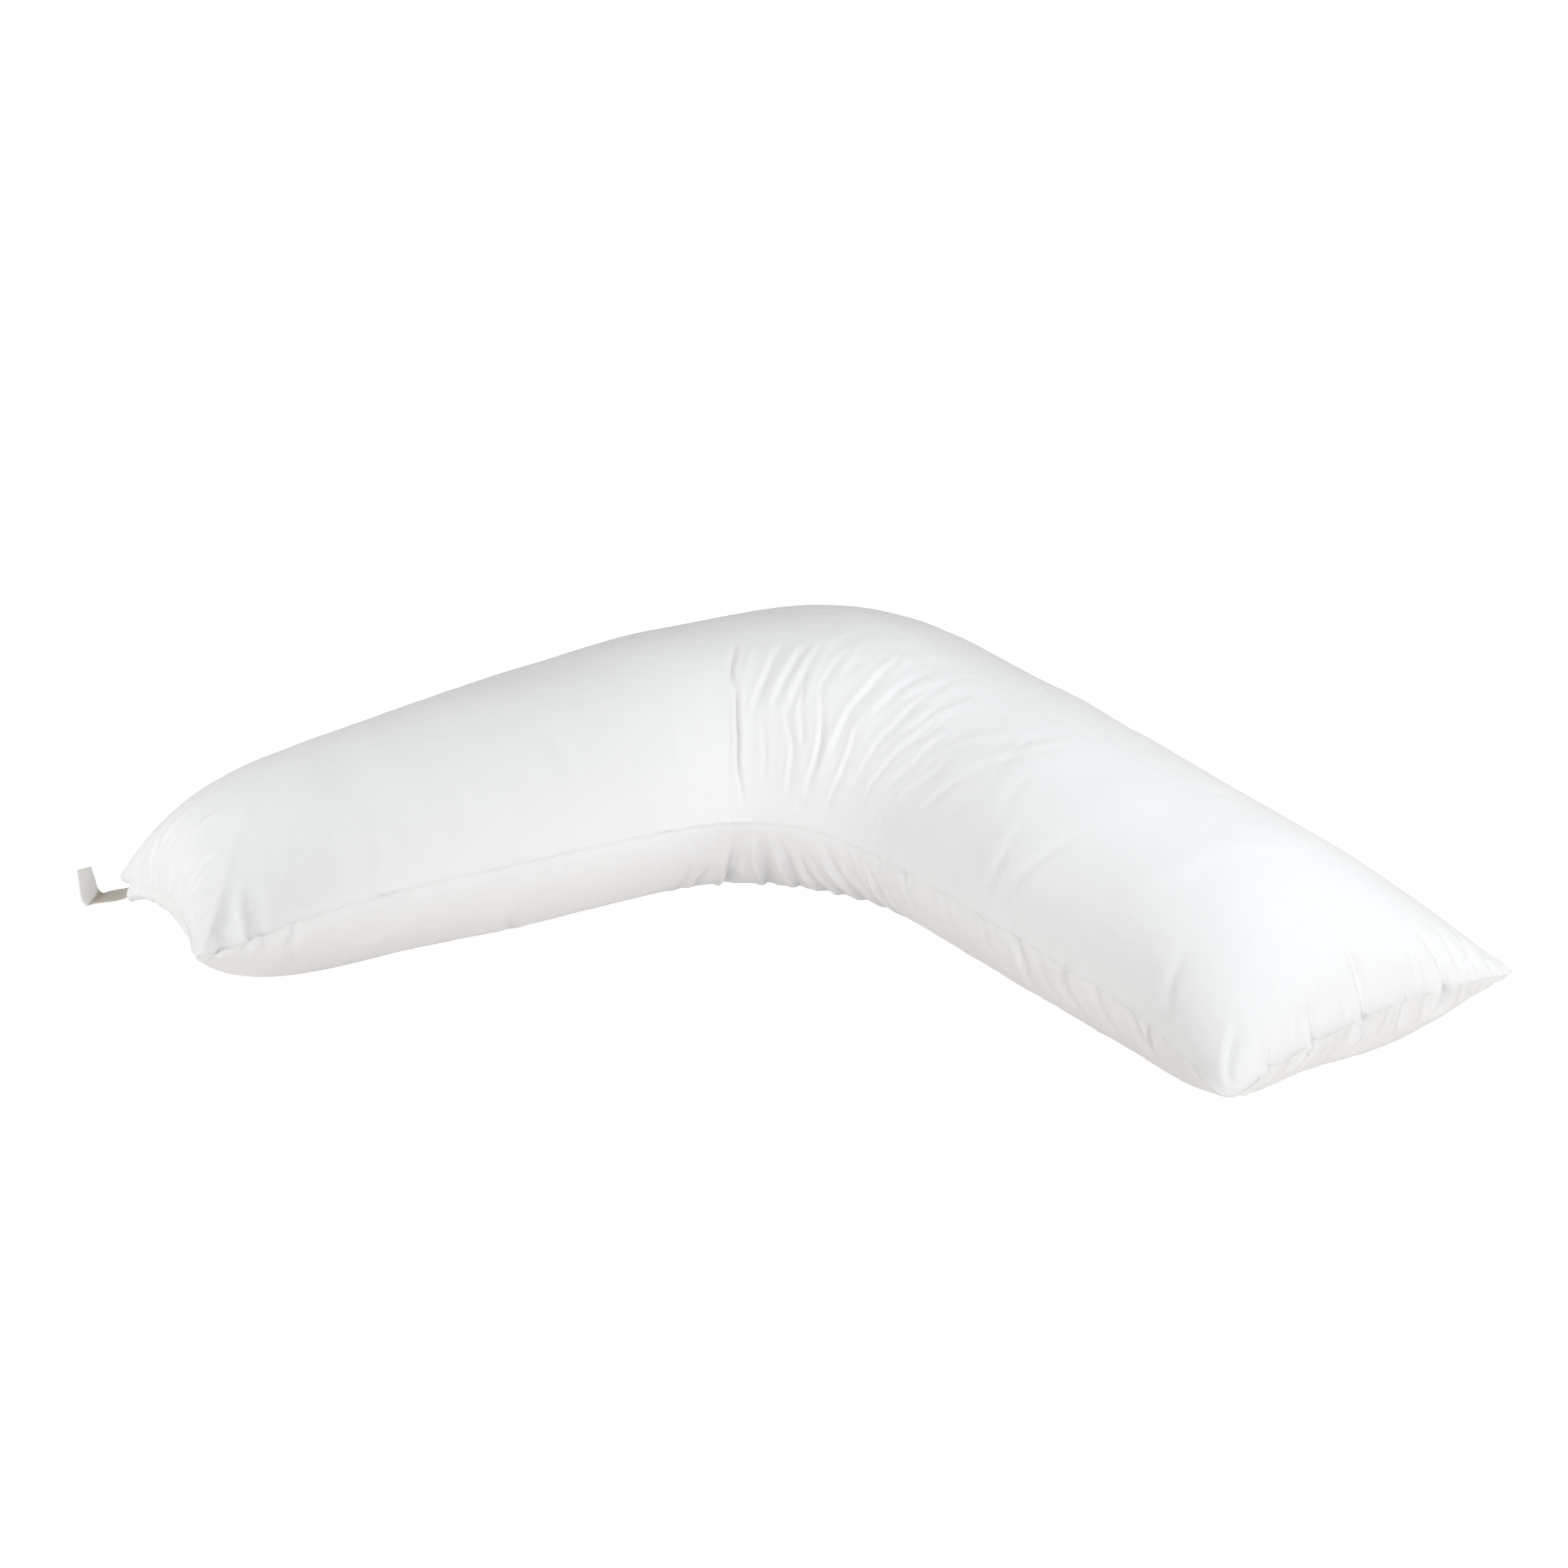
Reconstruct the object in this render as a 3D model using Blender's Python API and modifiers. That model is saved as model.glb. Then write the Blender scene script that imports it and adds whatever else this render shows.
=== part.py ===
"""A v-shaped pillow, filled and lying flat, with a blank ribbon tab sewn into one corner.

Two equal v-shaped panels meet in a seam that runs all the way round. Each panel is a grid
of points over (along, across): along is the distance in metres from the middle of the
elbow, negative on the left arm, and across runs from -1 at the inner seam of the crook to
+1 at the outer seam. The elbow points towards +Y and both arms run towards -Y.
"""
import math
from collections import namedtuple

import bmesh
import bpy
import numpy as np

# Plan of the pillow, metres
ARM_ANGLE = math.radians(98)
ELBOW_RADIUS = 0.26
CORNER_BLUNTING = 0.005
LABEL_CORNER_BLUNTING = 0.012

# Cross-section: seam angles say how steeply each panel leaves the seam
TOP_SEAM_ANGLE = math.radians(80)
UNDER_SEAM_ANGLE = math.radians(84)
TOP_ROUNDING = 0.16
UNDERSIDE_DROP = 1.3
LEAST_DROP_HEIGHT = 0.03
CONTACT_BLEND = 0.006

# Ends: bow and rise shape the end seam, under_ columns how the underside draws in to it
End = namedtuple("End", "straight bow rise under_rounding under_power undercut")
LEFT_END = End(0.420, 0.016, 0.013, 0.160, 0.8, 0.00)
RIGHT_END = End(0.405, 0.016, 0.003, 0.150, 1.0, 0.12)
UNDERCUT_SIDE = -0.2
UNDERCUT_SPREAD = 0.4

# Grid: cells across a panel, and the pitch of its stations along the arms
CELLS_ACROSS = 22
ARM_PITCH = 0.016
ELBOW_PITCH = 0.0075
END_PITCH = 0.004
ELBOW_SPAN = (-0.20, 0.26)
PITCH_CHANGE = 0.05

# Creases: ridges stand beside each trough
RIDGE_SHARE = 0.35
RIDGE_PLACE = 1.9
RIDGE_WIDTH = 0.8
PATH_POINTS = 9
SEAM_FADE = 8

# Ribbon tab
RIBBON_WIDTH = 0.024
RIBBON_THICKNESS = 0.001
RIBBON_HEADING = math.radians(197)
RIBBON_STEPS = 28
RIBBON_CELLS = 4
GAP = 0.0003

# Sections: share is the part of the way to that arm's end, inner and outer are half widths
Section = namedtuple("Section", "share inner outer crown inner_seam outer_seam")
SECTIONS = (
    Section(-1.00, 0.164, 0.132, 0.142, 0.080, 0.005),
    Section(-0.80, 0.133, 0.142, 0.144, 0.081, 0.038),
    Section(-0.50, 0.129, 0.141, 0.178, 0.086, 0.060),
    Section(-0.22, 0.122, 0.149, 0.200, 0.083, 0.072),
    Section(+0.00, 0.138, 0.178, 0.216, 0.086, 0.079),
    Section(+0.22, 0.146, 0.138, 0.192, 0.083, 0.067),
    Section(+0.50, 0.143, 0.140, 0.171, 0.082, 0.067),
    Section(+0.80, 0.134, 0.152, 0.153, 0.070, 0.055),
    Section(+1.00, 0.145, 0.142, 0.150, 0.061, 0.072),
)

# Creases: a seam crease starts at full depth in the seam, a free one fades at both ends
Crease = namedtuple("Crease", "panel start from_along from_across to_along to_across bend depth width")
CREASES = (
    # Top of the elbow, running from the middle of the top to the crook
    Crease("top", "free", -0.095, -0.28, -0.099, -0.93, +0.004, 0.0050, 0.006),
    Crease("top", "free", -0.041, -0.20, -0.078, -0.58, +0.004, 0.0032, 0.006),
    Crease("top", "free", -0.012, -0.22, -0.042, -0.52, +0.003, 0.0030, 0.006),
    Crease("top", "free", +0.002, -0.18, -0.016, -0.48, +0.003, 0.0026, 0.006),
    Crease("top", "free", +0.008, -0.42, +0.021, -0.93, +0.010, 0.0042, 0.006),
    Crease("top", "free", -0.034, -0.52, -0.027, -0.93, +0.010, 0.0034, 0.005),
    Crease("top", "free", +0.074, -0.18, +0.048, -0.90, -0.008, 0.0062, 0.008),
    Crease("top", "free", +0.115, -0.24, +0.068, -0.88, +0.004, 0.0040, 0.007),
    Crease("top", "free", +0.156, -0.28, +0.129, -0.64, +0.003, 0.0034, 0.007),
    Crease("top", "free", +0.181, -0.30, +0.152, -0.74, +0.006, 0.0032, 0.007),
    Crease("top", "free", +0.212, -0.34, +0.208, -0.70, +0.002, 0.0024, 0.008),
    # Arms, broad and shallow
    Crease("top", "free", -0.286, -0.22, -0.278, -0.95, +0.004, 0.0022, 0.011),
    Crease("top", "free", -0.196, -0.42, -0.225, -0.80, +0.002, 0.0020, 0.009),
    Crease("top", "free", +0.336, -0.15, +0.323, -0.80, -0.006, 0.0022, 0.011),
    # Left end: the folded facet that runs into the near corner, and the dent beside it
    Crease("top", "free", -0.536, -0.10, -0.580, -0.80, +0.004, 0.0040, 0.009),
    Crease("top", "free", -0.563, -0.52, -0.562, -0.98, +0.004, 0.0040, 0.006),
    Crease("top", "seam", -0.449, -1.00, -0.449, -0.76, +0.000, 0.0030, 0.008),
    Crease("under", "seam", -0.449, -1.00, -0.436, -0.70, +0.000, 0.0040, 0.008),
    # Pleats below the seam of the crook
    Crease("under", "seam", -0.142, -1.00, -0.098, -0.60, +0.004, 0.0045, 0.006),
    Crease("under", "seam", -0.104, -1.00, -0.078, -0.66, +0.002, 0.0036, 0.005),
    Crease("under", "seam", -0.073, -1.00, -0.055, -0.60, +0.002, 0.0050, 0.006),
    Crease("under", "seam", -0.038, -1.00, -0.024, -0.66, +0.002, 0.0036, 0.005),
    Crease("under", "seam", -0.014, -1.00, +0.005, -0.62, +0.002, 0.0046, 0.005),
    Crease("under", "seam", +0.014, -1.00, +0.029, -0.56, +0.002, 0.0044, 0.005),
    Crease("under", "seam", +0.046, -1.00, +0.068, -0.54, +0.002, 0.0046, 0.006),
    Crease("under", "seam", +0.092, -1.00, +0.098, -0.62, +0.002, 0.0030, 0.005),
    Crease("under", "seam", +0.146, -1.00, +0.115, -0.52, +0.004, 0.0040, 0.007),
    # Puckers of the right arm's inner seam
    Crease("under", "seam", +0.344, -1.00, +0.352, -0.72, +0.000, 0.0030, 0.006),
    Crease("under", "seam", +0.398, -1.00, +0.416, -0.72, +0.000, 0.0030, 0.007),
    Crease("under", "seam", +0.470, -1.00, +0.482, -0.80, +0.000, 0.0024, 0.006),
    # Puckers that cross the right end's seam
    Crease("top", "seam", +0.591, -0.04, +0.555, -0.02, +0.000, 0.0060, 0.008),
    Crease("under", "seam", +0.591, -0.04, +0.572, -0.02, +0.000, 0.0070, 0.009),
    Crease("top", "seam", +0.591, +0.38, +0.560, +0.38, +0.000, 0.0050, 0.008),
    Crease("under", "seam", +0.591, +0.38, +0.575, +0.36, +0.000, 0.0060, 0.009),
    Crease("top", "seam", +0.591, -0.22, +0.570, -0.20, +0.000, 0.0026, 0.007),
    Crease("under", "seam", +0.591, -0.22, +0.572, -0.28, +0.000, 0.0050, 0.009),
    Crease("top", "free", +0.566, -0.66, +0.586, -0.95, +0.002, 0.0034, 0.006),
    # Puckers that cross the left end's seam
    Crease("top", "seam", -0.606, -0.30, -0.570, -0.26, +0.000, 0.0030, 0.008),
    Crease("under", "seam", -0.606, -0.30, -0.585, -0.30, +0.000, 0.0040, 0.008),
    Crease("top", "seam", -0.606, +0.30, -0.575, +0.32, +0.000, 0.0034, 0.008),
    Crease("under", "seam", -0.606, +0.30, -0.590, +0.30, +0.000, 0.0030, 0.008),
    # Puckers of the outer seam around the elbow
    Crease("top", "seam", -0.150, +1.00, -0.140, +0.74, +0.000, 0.0026, 0.009),
    Crease("top", "seam", +0.030, +1.00, +0.020, +0.70, +0.000, 0.0030, 0.010),
    Crease("under", "seam", +0.030, +1.00, +0.030, +0.74, +0.000, 0.0034, 0.010),
    Crease("top", "seam", +0.190, +1.00, +0.180, +0.72, +0.000, 0.0026, 0.009),
)

# Ribbon rows: lead is how far the near edge runs ahead, tilt how far it stands above the far edge
RibbonRow = namedtuple("RibbonRow", "place run lead height tilt")
RIBBON_ROWS = (
    RibbonRow(0.00, 0.0000, 0.0000, 0.0050, 0.000),
    RibbonRow(0.16, 0.0080, 0.0040, 0.0054, 0.000),
    RibbonRow(0.32, 0.0160, 0.0085, 0.0036, 0.000),
    RibbonRow(0.44, 0.0214, 0.0112, 0.0010, 0.000),
    RibbonRow(0.54, 0.0240, 0.0105, 0.0050, 0.002),
    RibbonRow(0.76, 0.0252, 0.0090, 0.0165, 0.005),
    RibbonRow(1.00, 0.0264, 0.0074, 0.0300, 0.008),
)

HALF_TURN = (math.pi - ARM_ANGLE) / 2
ARC = ELBOW_RADIUS * HALF_TURN
LEFT_LENGTH = ARC + LEFT_END.straight
RIGHT_LENGTH = ARC + RIGHT_END.straight


def through_rows(rows, key, column, at):
    """Smooth curve through one column of a table, over its key column."""
    keys = np.array([getattr(row, key) for row in rows])
    values = np.array([getattr(row, column) for row in rows])
    slopes = np.gradient(values, keys)
    row = np.clip(np.searchsorted(keys, at, side="right") - 1, 0, len(rows) - 2)
    step = keys[row + 1] - keys[row]
    t = (at - keys[row]) / step
    start = (1 + 2 * t) * (1 - t) ** 2 * values[row] + t * (1 - t) ** 2 * step * slopes[row]
    end = (3 - 2 * t) * t ** 2 * values[row + 1] - (1 - t) * t ** 2 * step * slopes[row + 1]
    return start + end


def spine(along):
    """Middle line in plan, a straight, an arc and a straight, with its tangent."""
    on_arc = np.clip(along, -ARC, ARC)
    turn = on_arc / ELBOW_RADIUS
    tangent_x = np.cos(turn)
    tangent_y = -np.sin(turn)
    x = ELBOW_RADIUS * np.sin(turn) + (along - on_arc) * tangent_x
    y = ELBOW_RADIUS * (np.cos(turn) - 1) + (along - on_arc) * tangent_y
    return x, y, tangent_x, tangent_y


def end_values(along, column):
    """One column of the table of ends, for the end that each station is nearer to."""
    return np.where(along < 0, getattr(LEFT_END, column), getattr(RIGHT_END, column))


def panel_points(along, across, panel):
    """Points of one panel before it is creased and set down."""
    left = along < 0
    share = along / np.where(left, LEFT_LENGTH, RIGHT_LENGTH)
    inner, outer, crown, inner_seam, outer_seam = (
        through_rows(SECTIONS, "share", column, share) for column in Section._fields[1:])
    side = np.sin(across * TOP_SEAM_ANGLE) / math.sin(TOP_SEAM_ANGLE)
    half_width = np.where(across < 0, inner, outer)
    to_end = np.where(left, LEFT_LENGTH, RIGHT_LENGTH) - np.abs(along)
    nearness = np.clip(1 - to_end / TOP_ROUNDING, 0, 1)

    # The end seam bows inwards, and each corner is a little blunt
    bow = end_values(along, "bow") * (1 - side ** 2) * nearness ** 2
    blunting = np.where(left & (across > 0), LABEL_CORNER_BLUNTING, CORNER_BLUNTING)
    from_corner = to_end + half_width * (1 - np.abs(side))
    blunt = blunting / 2 * np.clip(1 - from_corner / (2 * blunting), 0, 1) ** 2
    x, y, tangent_x, tangent_y = spine(along - np.sign(along) * (bow + blunt))
    offset = side * half_width - np.sign(across) * blunt

    # Heights: the seam tilts across the pillow, the crown and the belly leave it as arcs
    rise = end_values(along, "rise") * (1 - side ** 2) * nearness ** 2
    seam = inner_seam + (outer_seam - inner_seam) * (side + 1) / 2 + rise
    seam_angle = TOP_SEAM_ANGLE if panel == "top" else UNDER_SEAM_ANGLE
    arch = (np.cos(across * seam_angle) - math.cos(seam_angle)) / (1 - math.cos(seam_angle))
    if panel == "top":
        height = (crown - seam) * np.sqrt(1 - nearness ** 2)
    else:
        undercut = np.exp(-((side - UNDERCUT_SIDE) / UNDERCUT_SPREAD) ** 2) * end_values(along, "undercut")
        closeness = np.clip(1 - to_end / (end_values(along, "under_rounding") + undercut), 0, 1)
        closing = (1 - closeness ** 2) ** (end_values(along, "under_power") / 2)
        height = -UNDERSIDE_DROP * np.maximum(seam, LEAST_DROP_HEIGHT) * closing
    return np.stack((x - tangent_y * offset, y + tangent_x * offset, seam + height * arch), axis=-1)


def outward_normals(points, panel):
    """Unit normals of a grid of points, pointing out of the pillow."""
    normals = np.cross(np.gradient(points, axis=0), np.gradient(points, axis=1))
    normals /= np.maximum(np.linalg.norm(normals, axis=-1, keepdims=True), 1e-12)
    return normals if panel == "top" else -normals


def crease_path(crease):
    """Points in space along a crease."""
    place = np.linspace(0, 1, PATH_POINTS)
    along = crease.from_along + (crease.to_along - crease.from_along) * place
    along = along + crease.bend * 4 * place * (1 - place)
    across = crease.from_across + (crease.to_across - crease.from_across) * place
    limit = np.where(along < 0, LEFT_LENGTH, RIGHT_LENGTH)
    return panel_points(np.clip(along, -limit, limit), across, crease.panel)


def nearest_on_path(points, path):
    """Distance of each point from a path, and how far along the path it is, 0 to 1."""
    best = np.full(points.shape[:-1], np.inf)
    place = np.zeros(points.shape[:-1])
    for step, (start, end) in enumerate(zip(path[:-1], path[1:])):
        run = end - start
        t = np.clip((points - start) @ run / max(run @ run, 1e-12), 0, 1)
        distance = np.linalg.norm(points - start - t[..., None] * run, axis=-1)
        place = np.where(distance < best, (step + t) / (len(path) - 1), place)
        best = np.minimum(distance, best)
    return best, place


def crease_relief(points, across, panel):
    """How far each point moves out of the smooth surface: troughs are negative."""
    relief = np.zeros(points.shape[:-1])
    for crease in CREASES:
        if crease.panel != panel:
            continue
        distance, place = nearest_on_path(points, crease_path(crease))
        beside = distance / crease.width
        ridges = RIDGE_SHARE * np.exp(-((beside - RIDGE_PLACE) / RIDGE_WIDTH) ** 2)
        if crease.start == "seam":
            fade = np.cos(math.pi / 2 * place)
        else:
            fade = np.sin(math.pi * place) ** 0.7 * (1 - np.abs(across) ** SEAM_FADE)
        relief -= crease.depth * fade * (np.exp(-beside ** 2) - ridges)
    return relief


def set_down(points):
    """Flatten what would lie below the surface that the pillow rests on."""
    height = points[..., 2]
    blended = (height + CONTACT_BLEND) ** 2 / (4 * CONTACT_BLEND)
    height = np.where(height < CONTACT_BLEND, blended, height)
    height = np.where(points[..., 2] < -CONTACT_BLEND, 0, height)
    return np.concatenate((points[..., :2], height[..., None]), axis=-1)


def stations():
    """Distances along the pillow, closer together at the elbow and at both ends."""
    fine = np.linspace(-LEFT_LENGTH, RIGHT_LENGTH, 4001)
    to_elbow = np.maximum(ELBOW_SPAN[0] - fine, fine - ELBOW_SPAN[1])
    to_end = np.minimum(fine + LEFT_LENGTH, RIGHT_LENGTH - fine)
    from_elbow = np.clip(to_elbow / PITCH_CHANGE, 0, 1)
    from_end = np.clip(to_end / PITCH_CHANGE, 0, 1)
    pitch = np.minimum(ELBOW_PITCH + (ARM_PITCH - ELBOW_PITCH) * from_elbow,
                       END_PITCH + (ARM_PITCH - END_PITCH) * from_end)
    steps = (fine[1:] - fine[:-1]) * 2 / (pitch[1:] + pitch[:-1])
    count = np.concatenate(([0], np.cumsum(steps)))
    return np.interp(np.linspace(0, count[-1], round(count[-1]) + 1), count, fine)


def creased_panel(along, across, panel):
    points = panel_points(along, across, panel)
    relief = crease_relief(points, across, panel)
    return set_down(points + relief[..., None] * outward_normals(points, panel))


def cloth_material(name, colour, roughness):
    material = bpy.data.materials.new(name)
    material.use_nodes = True
    shader = material.node_tree.nodes["Principled BSDF"]
    shader.inputs["Base Color"].default_value = (*colour, 1)
    shader.inputs["Roughness"].default_value = roughness
    shader.inputs["Metallic"].default_value = 0
    return material


def add_object(collection, name, mesh, material):
    made = bpy.data.objects.new(name, mesh)
    mesh.materials.append(material)
    collection.objects.link(made)
    return made


def grid_faces(form, corners):
    """Join a grid of bmesh vertices with quads."""
    for near, far in zip(corners[:-1], corners[1:]):
        for a, b, c, d in zip(near[:-1], near[1:], far[1:], far[:-1]):
            form.faces.new((a, b, c, d))


def pillow_mesh():
    """Both panels as lofts between unlike sections, sharing the vertices of the seam."""
    along, across = np.meshgrid(stations(), np.linspace(-1, 1, CELLS_ACROSS + 1), indexing="ij")
    top = creased_panel(along, across, "top")
    under = creased_panel(along, across, "under")
    on_seam = np.ones(along.shape, dtype=bool)
    on_seam[1:-1, 1:-1] = False
    top[on_seam] = (top[on_seam] + under[on_seam]) / 2

    form = bmesh.new()
    top_corners = [[form.verts.new(point) for point in row] for row in top]
    under_corners = [[top_corners[i][j] if on_seam[i, j] else form.verts.new(under[i, j])
                      for j in range(CELLS_ACROSS + 1)] for i in range(len(under))]
    grid_faces(form, top_corners)
    grid_faces(form, [row[::-1] for row in under_corners])
    bmesh.ops.recalc_face_normals(form, faces=form.faces)
    mesh = bpy.data.meshes.new("pillow_body")
    form.to_mesh(mesh)
    form.free()
    mesh.shade_smooth()
    return mesh


def label_corner(mesh, heading):
    """The point of the pillow that reaches furthest along the ribbon's heading."""
    points = np.array([vertex.co for vertex in mesh.vertices])
    return points[np.argmax(points[:, :2] @ heading)]


def ribbon_mesh(root, heading):
    """An open strip from its sewn end to its cut end, thickened later."""
    place = np.linspace(0, 1, RIBBON_STEPS + 1)
    run, lead, height, tilt = (
        through_rows(RIBBON_ROWS, "place", column, place) for column in RibbonRow._fields[1:])
    to_far_edge = np.array((heading[1], -heading[0]))
    form = bmesh.new()
    rows = []
    for cell in range(RIBBON_CELLS + 1):
        offset = cell / RIBBON_CELLS - 0.5
        ahead = root[:2] + np.outer(run - offset * lead + GAP, heading)
        plan = ahead + offset * RIBBON_WIDTH * to_far_edge
        rows.append([form.verts.new((*spot, z)) for spot, z in zip(plan, height - offset * tilt)])
    grid_faces(form, rows)
    mesh = bpy.data.meshes.new("label_tab")
    form.to_mesh(mesh)
    form.free()
    mesh.shade_smooth()
    return mesh


def stand_on_origin(objects):
    """Move everything so that the origin is below the middle of the whole box."""
    points = np.array([vertex.co for made in objects for vertex in made.data.vertices])
    middle = (points.min(axis=0) + points.max(axis=0)) / 2
    for made in objects:
        made.location = (-middle[0], -middle[1], 0)


def build():
    for old in list(bpy.data.objects):
        bpy.data.objects.remove(old, do_unlink=True)
    collection = bpy.data.collections.new("v_shaped_pillow")
    bpy.context.scene.collection.children.link(collection)

    cotton = cloth_material("white_cotton", (0.90, 0.90, 0.91), 0.9)
    tape = cloth_material("ribbon_tape", (0.84, 0.81, 0.76), 0.8)
    heading = np.array((math.cos(RIBBON_HEADING), math.sin(RIBBON_HEADING)))
    body = pillow_mesh()
    pillow = add_object(collection, "pillow_body", body, cotton)
    label = add_object(collection, "label_tab", ribbon_mesh(label_corner(body, heading), heading), tape)
    thickness = label.modifiers.new("tape_thickness", "SOLIDIFY")
    thickness.thickness = RIBBON_THICKNESS
    thickness.offset = 0
    stand_on_origin((pillow, label))


build()
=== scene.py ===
"""A v-shaped pillow lying on a pale studio floor, with a blank ribbon tab in one corner.

The cover is two equal panels of white cotton that meet in a seam. Each panel is a grid over
(along, across): along is the distance in metres from the middle of the elbow, negative on the
left arm, and across runs from -1 at the inner seam of the crook to +1 at the outer seam.
"""

import math
from collections import namedtuple

import bmesh
import bpy
import numpy as np
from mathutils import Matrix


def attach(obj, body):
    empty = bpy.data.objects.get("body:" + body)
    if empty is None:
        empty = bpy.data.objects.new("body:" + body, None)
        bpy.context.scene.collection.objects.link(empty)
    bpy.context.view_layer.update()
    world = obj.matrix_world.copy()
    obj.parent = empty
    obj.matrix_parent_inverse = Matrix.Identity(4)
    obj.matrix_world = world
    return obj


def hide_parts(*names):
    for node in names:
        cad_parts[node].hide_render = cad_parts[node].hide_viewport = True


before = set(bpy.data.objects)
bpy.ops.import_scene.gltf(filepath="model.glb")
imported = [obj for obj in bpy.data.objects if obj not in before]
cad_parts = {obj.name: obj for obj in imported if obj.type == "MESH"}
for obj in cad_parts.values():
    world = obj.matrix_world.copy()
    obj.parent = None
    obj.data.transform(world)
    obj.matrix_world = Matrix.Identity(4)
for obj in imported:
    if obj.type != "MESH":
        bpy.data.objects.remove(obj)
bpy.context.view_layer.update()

MM = 0.001

# Plan of the pillow, metres
ARM_ANGLE = math.radians(98)
ELBOW_RADIUS = 0.26
ELBOW_MIDDLE = (0.0127, 0.1408)
Blunting = namedtuple("Blunting", "inner outer")
LEFT_BLUNTING = Blunting(0.0145, 0.012)
RIGHT_BLUNTING = Blunting(0.013, 0.009)

# Cross-section: seam angles say how steeply each panel leaves the seam
TOP_SEAM_ANGLE = math.radians(80)
UNDER_SEAM_ANGLE = math.radians(84)
TOP_ROUNDING = 0.16
UNDERSIDE_DROP = 1.3
LEAST_DROP_HEIGHT = 0.03
CONTACT_BLEND = 0.006

# Ends: bow and rise shape the end seam, under_ columns how the underside draws in to it
End = namedtuple("End", "straight bow rise under_rounding under_power undercut")
LEFT_END = End(0.420, 0.0175, 0.013, 0.160, 0.8, 0.00)
RIGHT_END = End(0.405, 0.016, 0.004, 0.084, 1.36, 0.102)
UNDERCUT_SIDE = -0.12
UNDERCUT_SPREAD = 0.58

# Sections: share is the part of the way to that arm's end, inner and outer are half widths
Section = namedtuple("Section", "share inner outer crown inner_seam outer_seam")
SECTIONS = (
    Section(-1.00, 0.164, 0.132, 0.142, 0.080, 0.005),
    Section(-0.80, 0.133, 0.142, 0.144, 0.081, 0.038),
    Section(-0.50, 0.129, 0.141, 0.178, 0.086, 0.060),
    Section(-0.22, 0.122, 0.149, 0.200, 0.083, 0.072),
    Section(+0.00, 0.138, 0.178, 0.216, 0.086, 0.079),
    Section(+0.22, 0.146, 0.138, 0.192, 0.083, 0.067),
    Section(+0.50, 0.143, 0.140, 0.171, 0.082, 0.067),
    Section(+0.80, 0.134, 0.152, 0.153, 0.070, 0.055),
    Section(+1.00, 0.145, 0.142, 0.150, 0.061, 0.072),
)

HALF_TURN = (math.pi - ARM_ANGLE) / 2
ARC = ELBOW_RADIUS * HALF_TURN
LEFT_LENGTH = ARC + LEFT_END.straight
RIGHT_LENGTH = ARC + RIGHT_END.straight

# Corners pulled out of the plain shape, metres: row and column are the corner's in the grid, and
# the pull fades over spread round it and over depth in from the seam
Pull = namedtuple("Pull", "row column move spread depth")
CORNER_PULLS = (
    Pull(0, 0, (-0.0026, -0.0007, -0.0040), 0.015, 0.015),
    Pull(0, -1, (-0.0070, -0.0018, -0.0060), 0.035, 0.035),
    Pull(0, -1, (+0.0270, +0.0070, +0.0065), 0.022, 0.009),
    Pull(-1, 0, (-0.0023, -0.0006, -0.0035), 0.042, 0.042),
    Pull(-1, -1, (+0.0033, +0.0009, +0.0000), 0.024, 0.024),
)

# Grid, metres: the pitch between its points at places along the pillow, and across a panel. Only
# near the two ends is every column kept, and elsewhere every second one
Stop = namedtuple("Stop", "place pitch")
ALONG_STOPS = (
    Stop(-LEFT_LENGTH, 0.0002),
    Stop(-LEFT_LENGTH + 0.0015, 0.0008),
    Stop(-LEFT_LENGTH + 0.006, 0.0017),
    Stop(-LEFT_LENGTH + 0.020, 0.0030),
    Stop(-LEFT_LENGTH + 0.060, 0.0036),
    Stop(-0.44, 0.0048),
    Stop(-0.21, 0.0048),
    Stop(-0.13, 0.0019),
    Stop(+0.16, 0.0019),
    Stop(+0.27, 0.0042),
    Stop(+0.46, 0.0046),
    Stop(RIGHT_LENGTH - 0.060, 0.0034),
    Stop(RIGHT_LENGTH - 0.020, 0.0030),
    Stop(RIGHT_LENGTH - 0.006, 0.0015),
    Stop(RIGHT_LENGTH - 0.0015, 0.0008),
    Stop(RIGHT_LENGTH, 0.0004),
)
FULL_COLUMNS = 0.052
PANEL_HALF = 0.165
ACROSS_STOPS = (
    Stop(-PANEL_HALF, 0.00055),
    Stop(-PANEL_HALF + 0.006, 0.0009),
    Stop(-PANEL_HALF + 0.018, 0.0018),
    Stop(PANEL_HALF - 0.018, 0.0018),
    Stop(PANEL_HALF - 0.006, 0.0009),
    Stop(PANEL_HALF, 0.00055),
)

# Folds: ridges stand beside each trough, and lean makes the right one steeper and higher. Each
# trough wanders by a share of its width and its depth varies
TROUGH_POWER = 1.4
RIDGE_SHARE = 0.25
RIDGE_PLACE = 1.8
RIDGE_WIDTH = 1.1
WANDER = 0.6
WANDER_PITCH = 0.22
WANDER_SEED = 300
UNEVEN = 0.35
UNEVEN_PITCH = 0.3
UNEVEN_SEED = 600
TAPERED_WIDENING = (0.7, 0.6)
LENS_FADE = 0.7
FOLD_MARGIN = 0.03
FOLD_REACH = 6
PATH_POINTS = 11
SEAM_FADE = 8

# A tapered fold is deepest where it starts, and a lens fades out at both ends. A depth below zero
# makes a crest
Fold = namedtuple("Fold", "kind path depth width lean")


def crease(kind, *row):
    """Three places, each mm along and hundredths across, then depth and width in mm, and lean."""
    path = tuple((along / 1000, across / 100) for along, across in row[:-3])
    return Fold(kind, path, *row[-3:])


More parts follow.
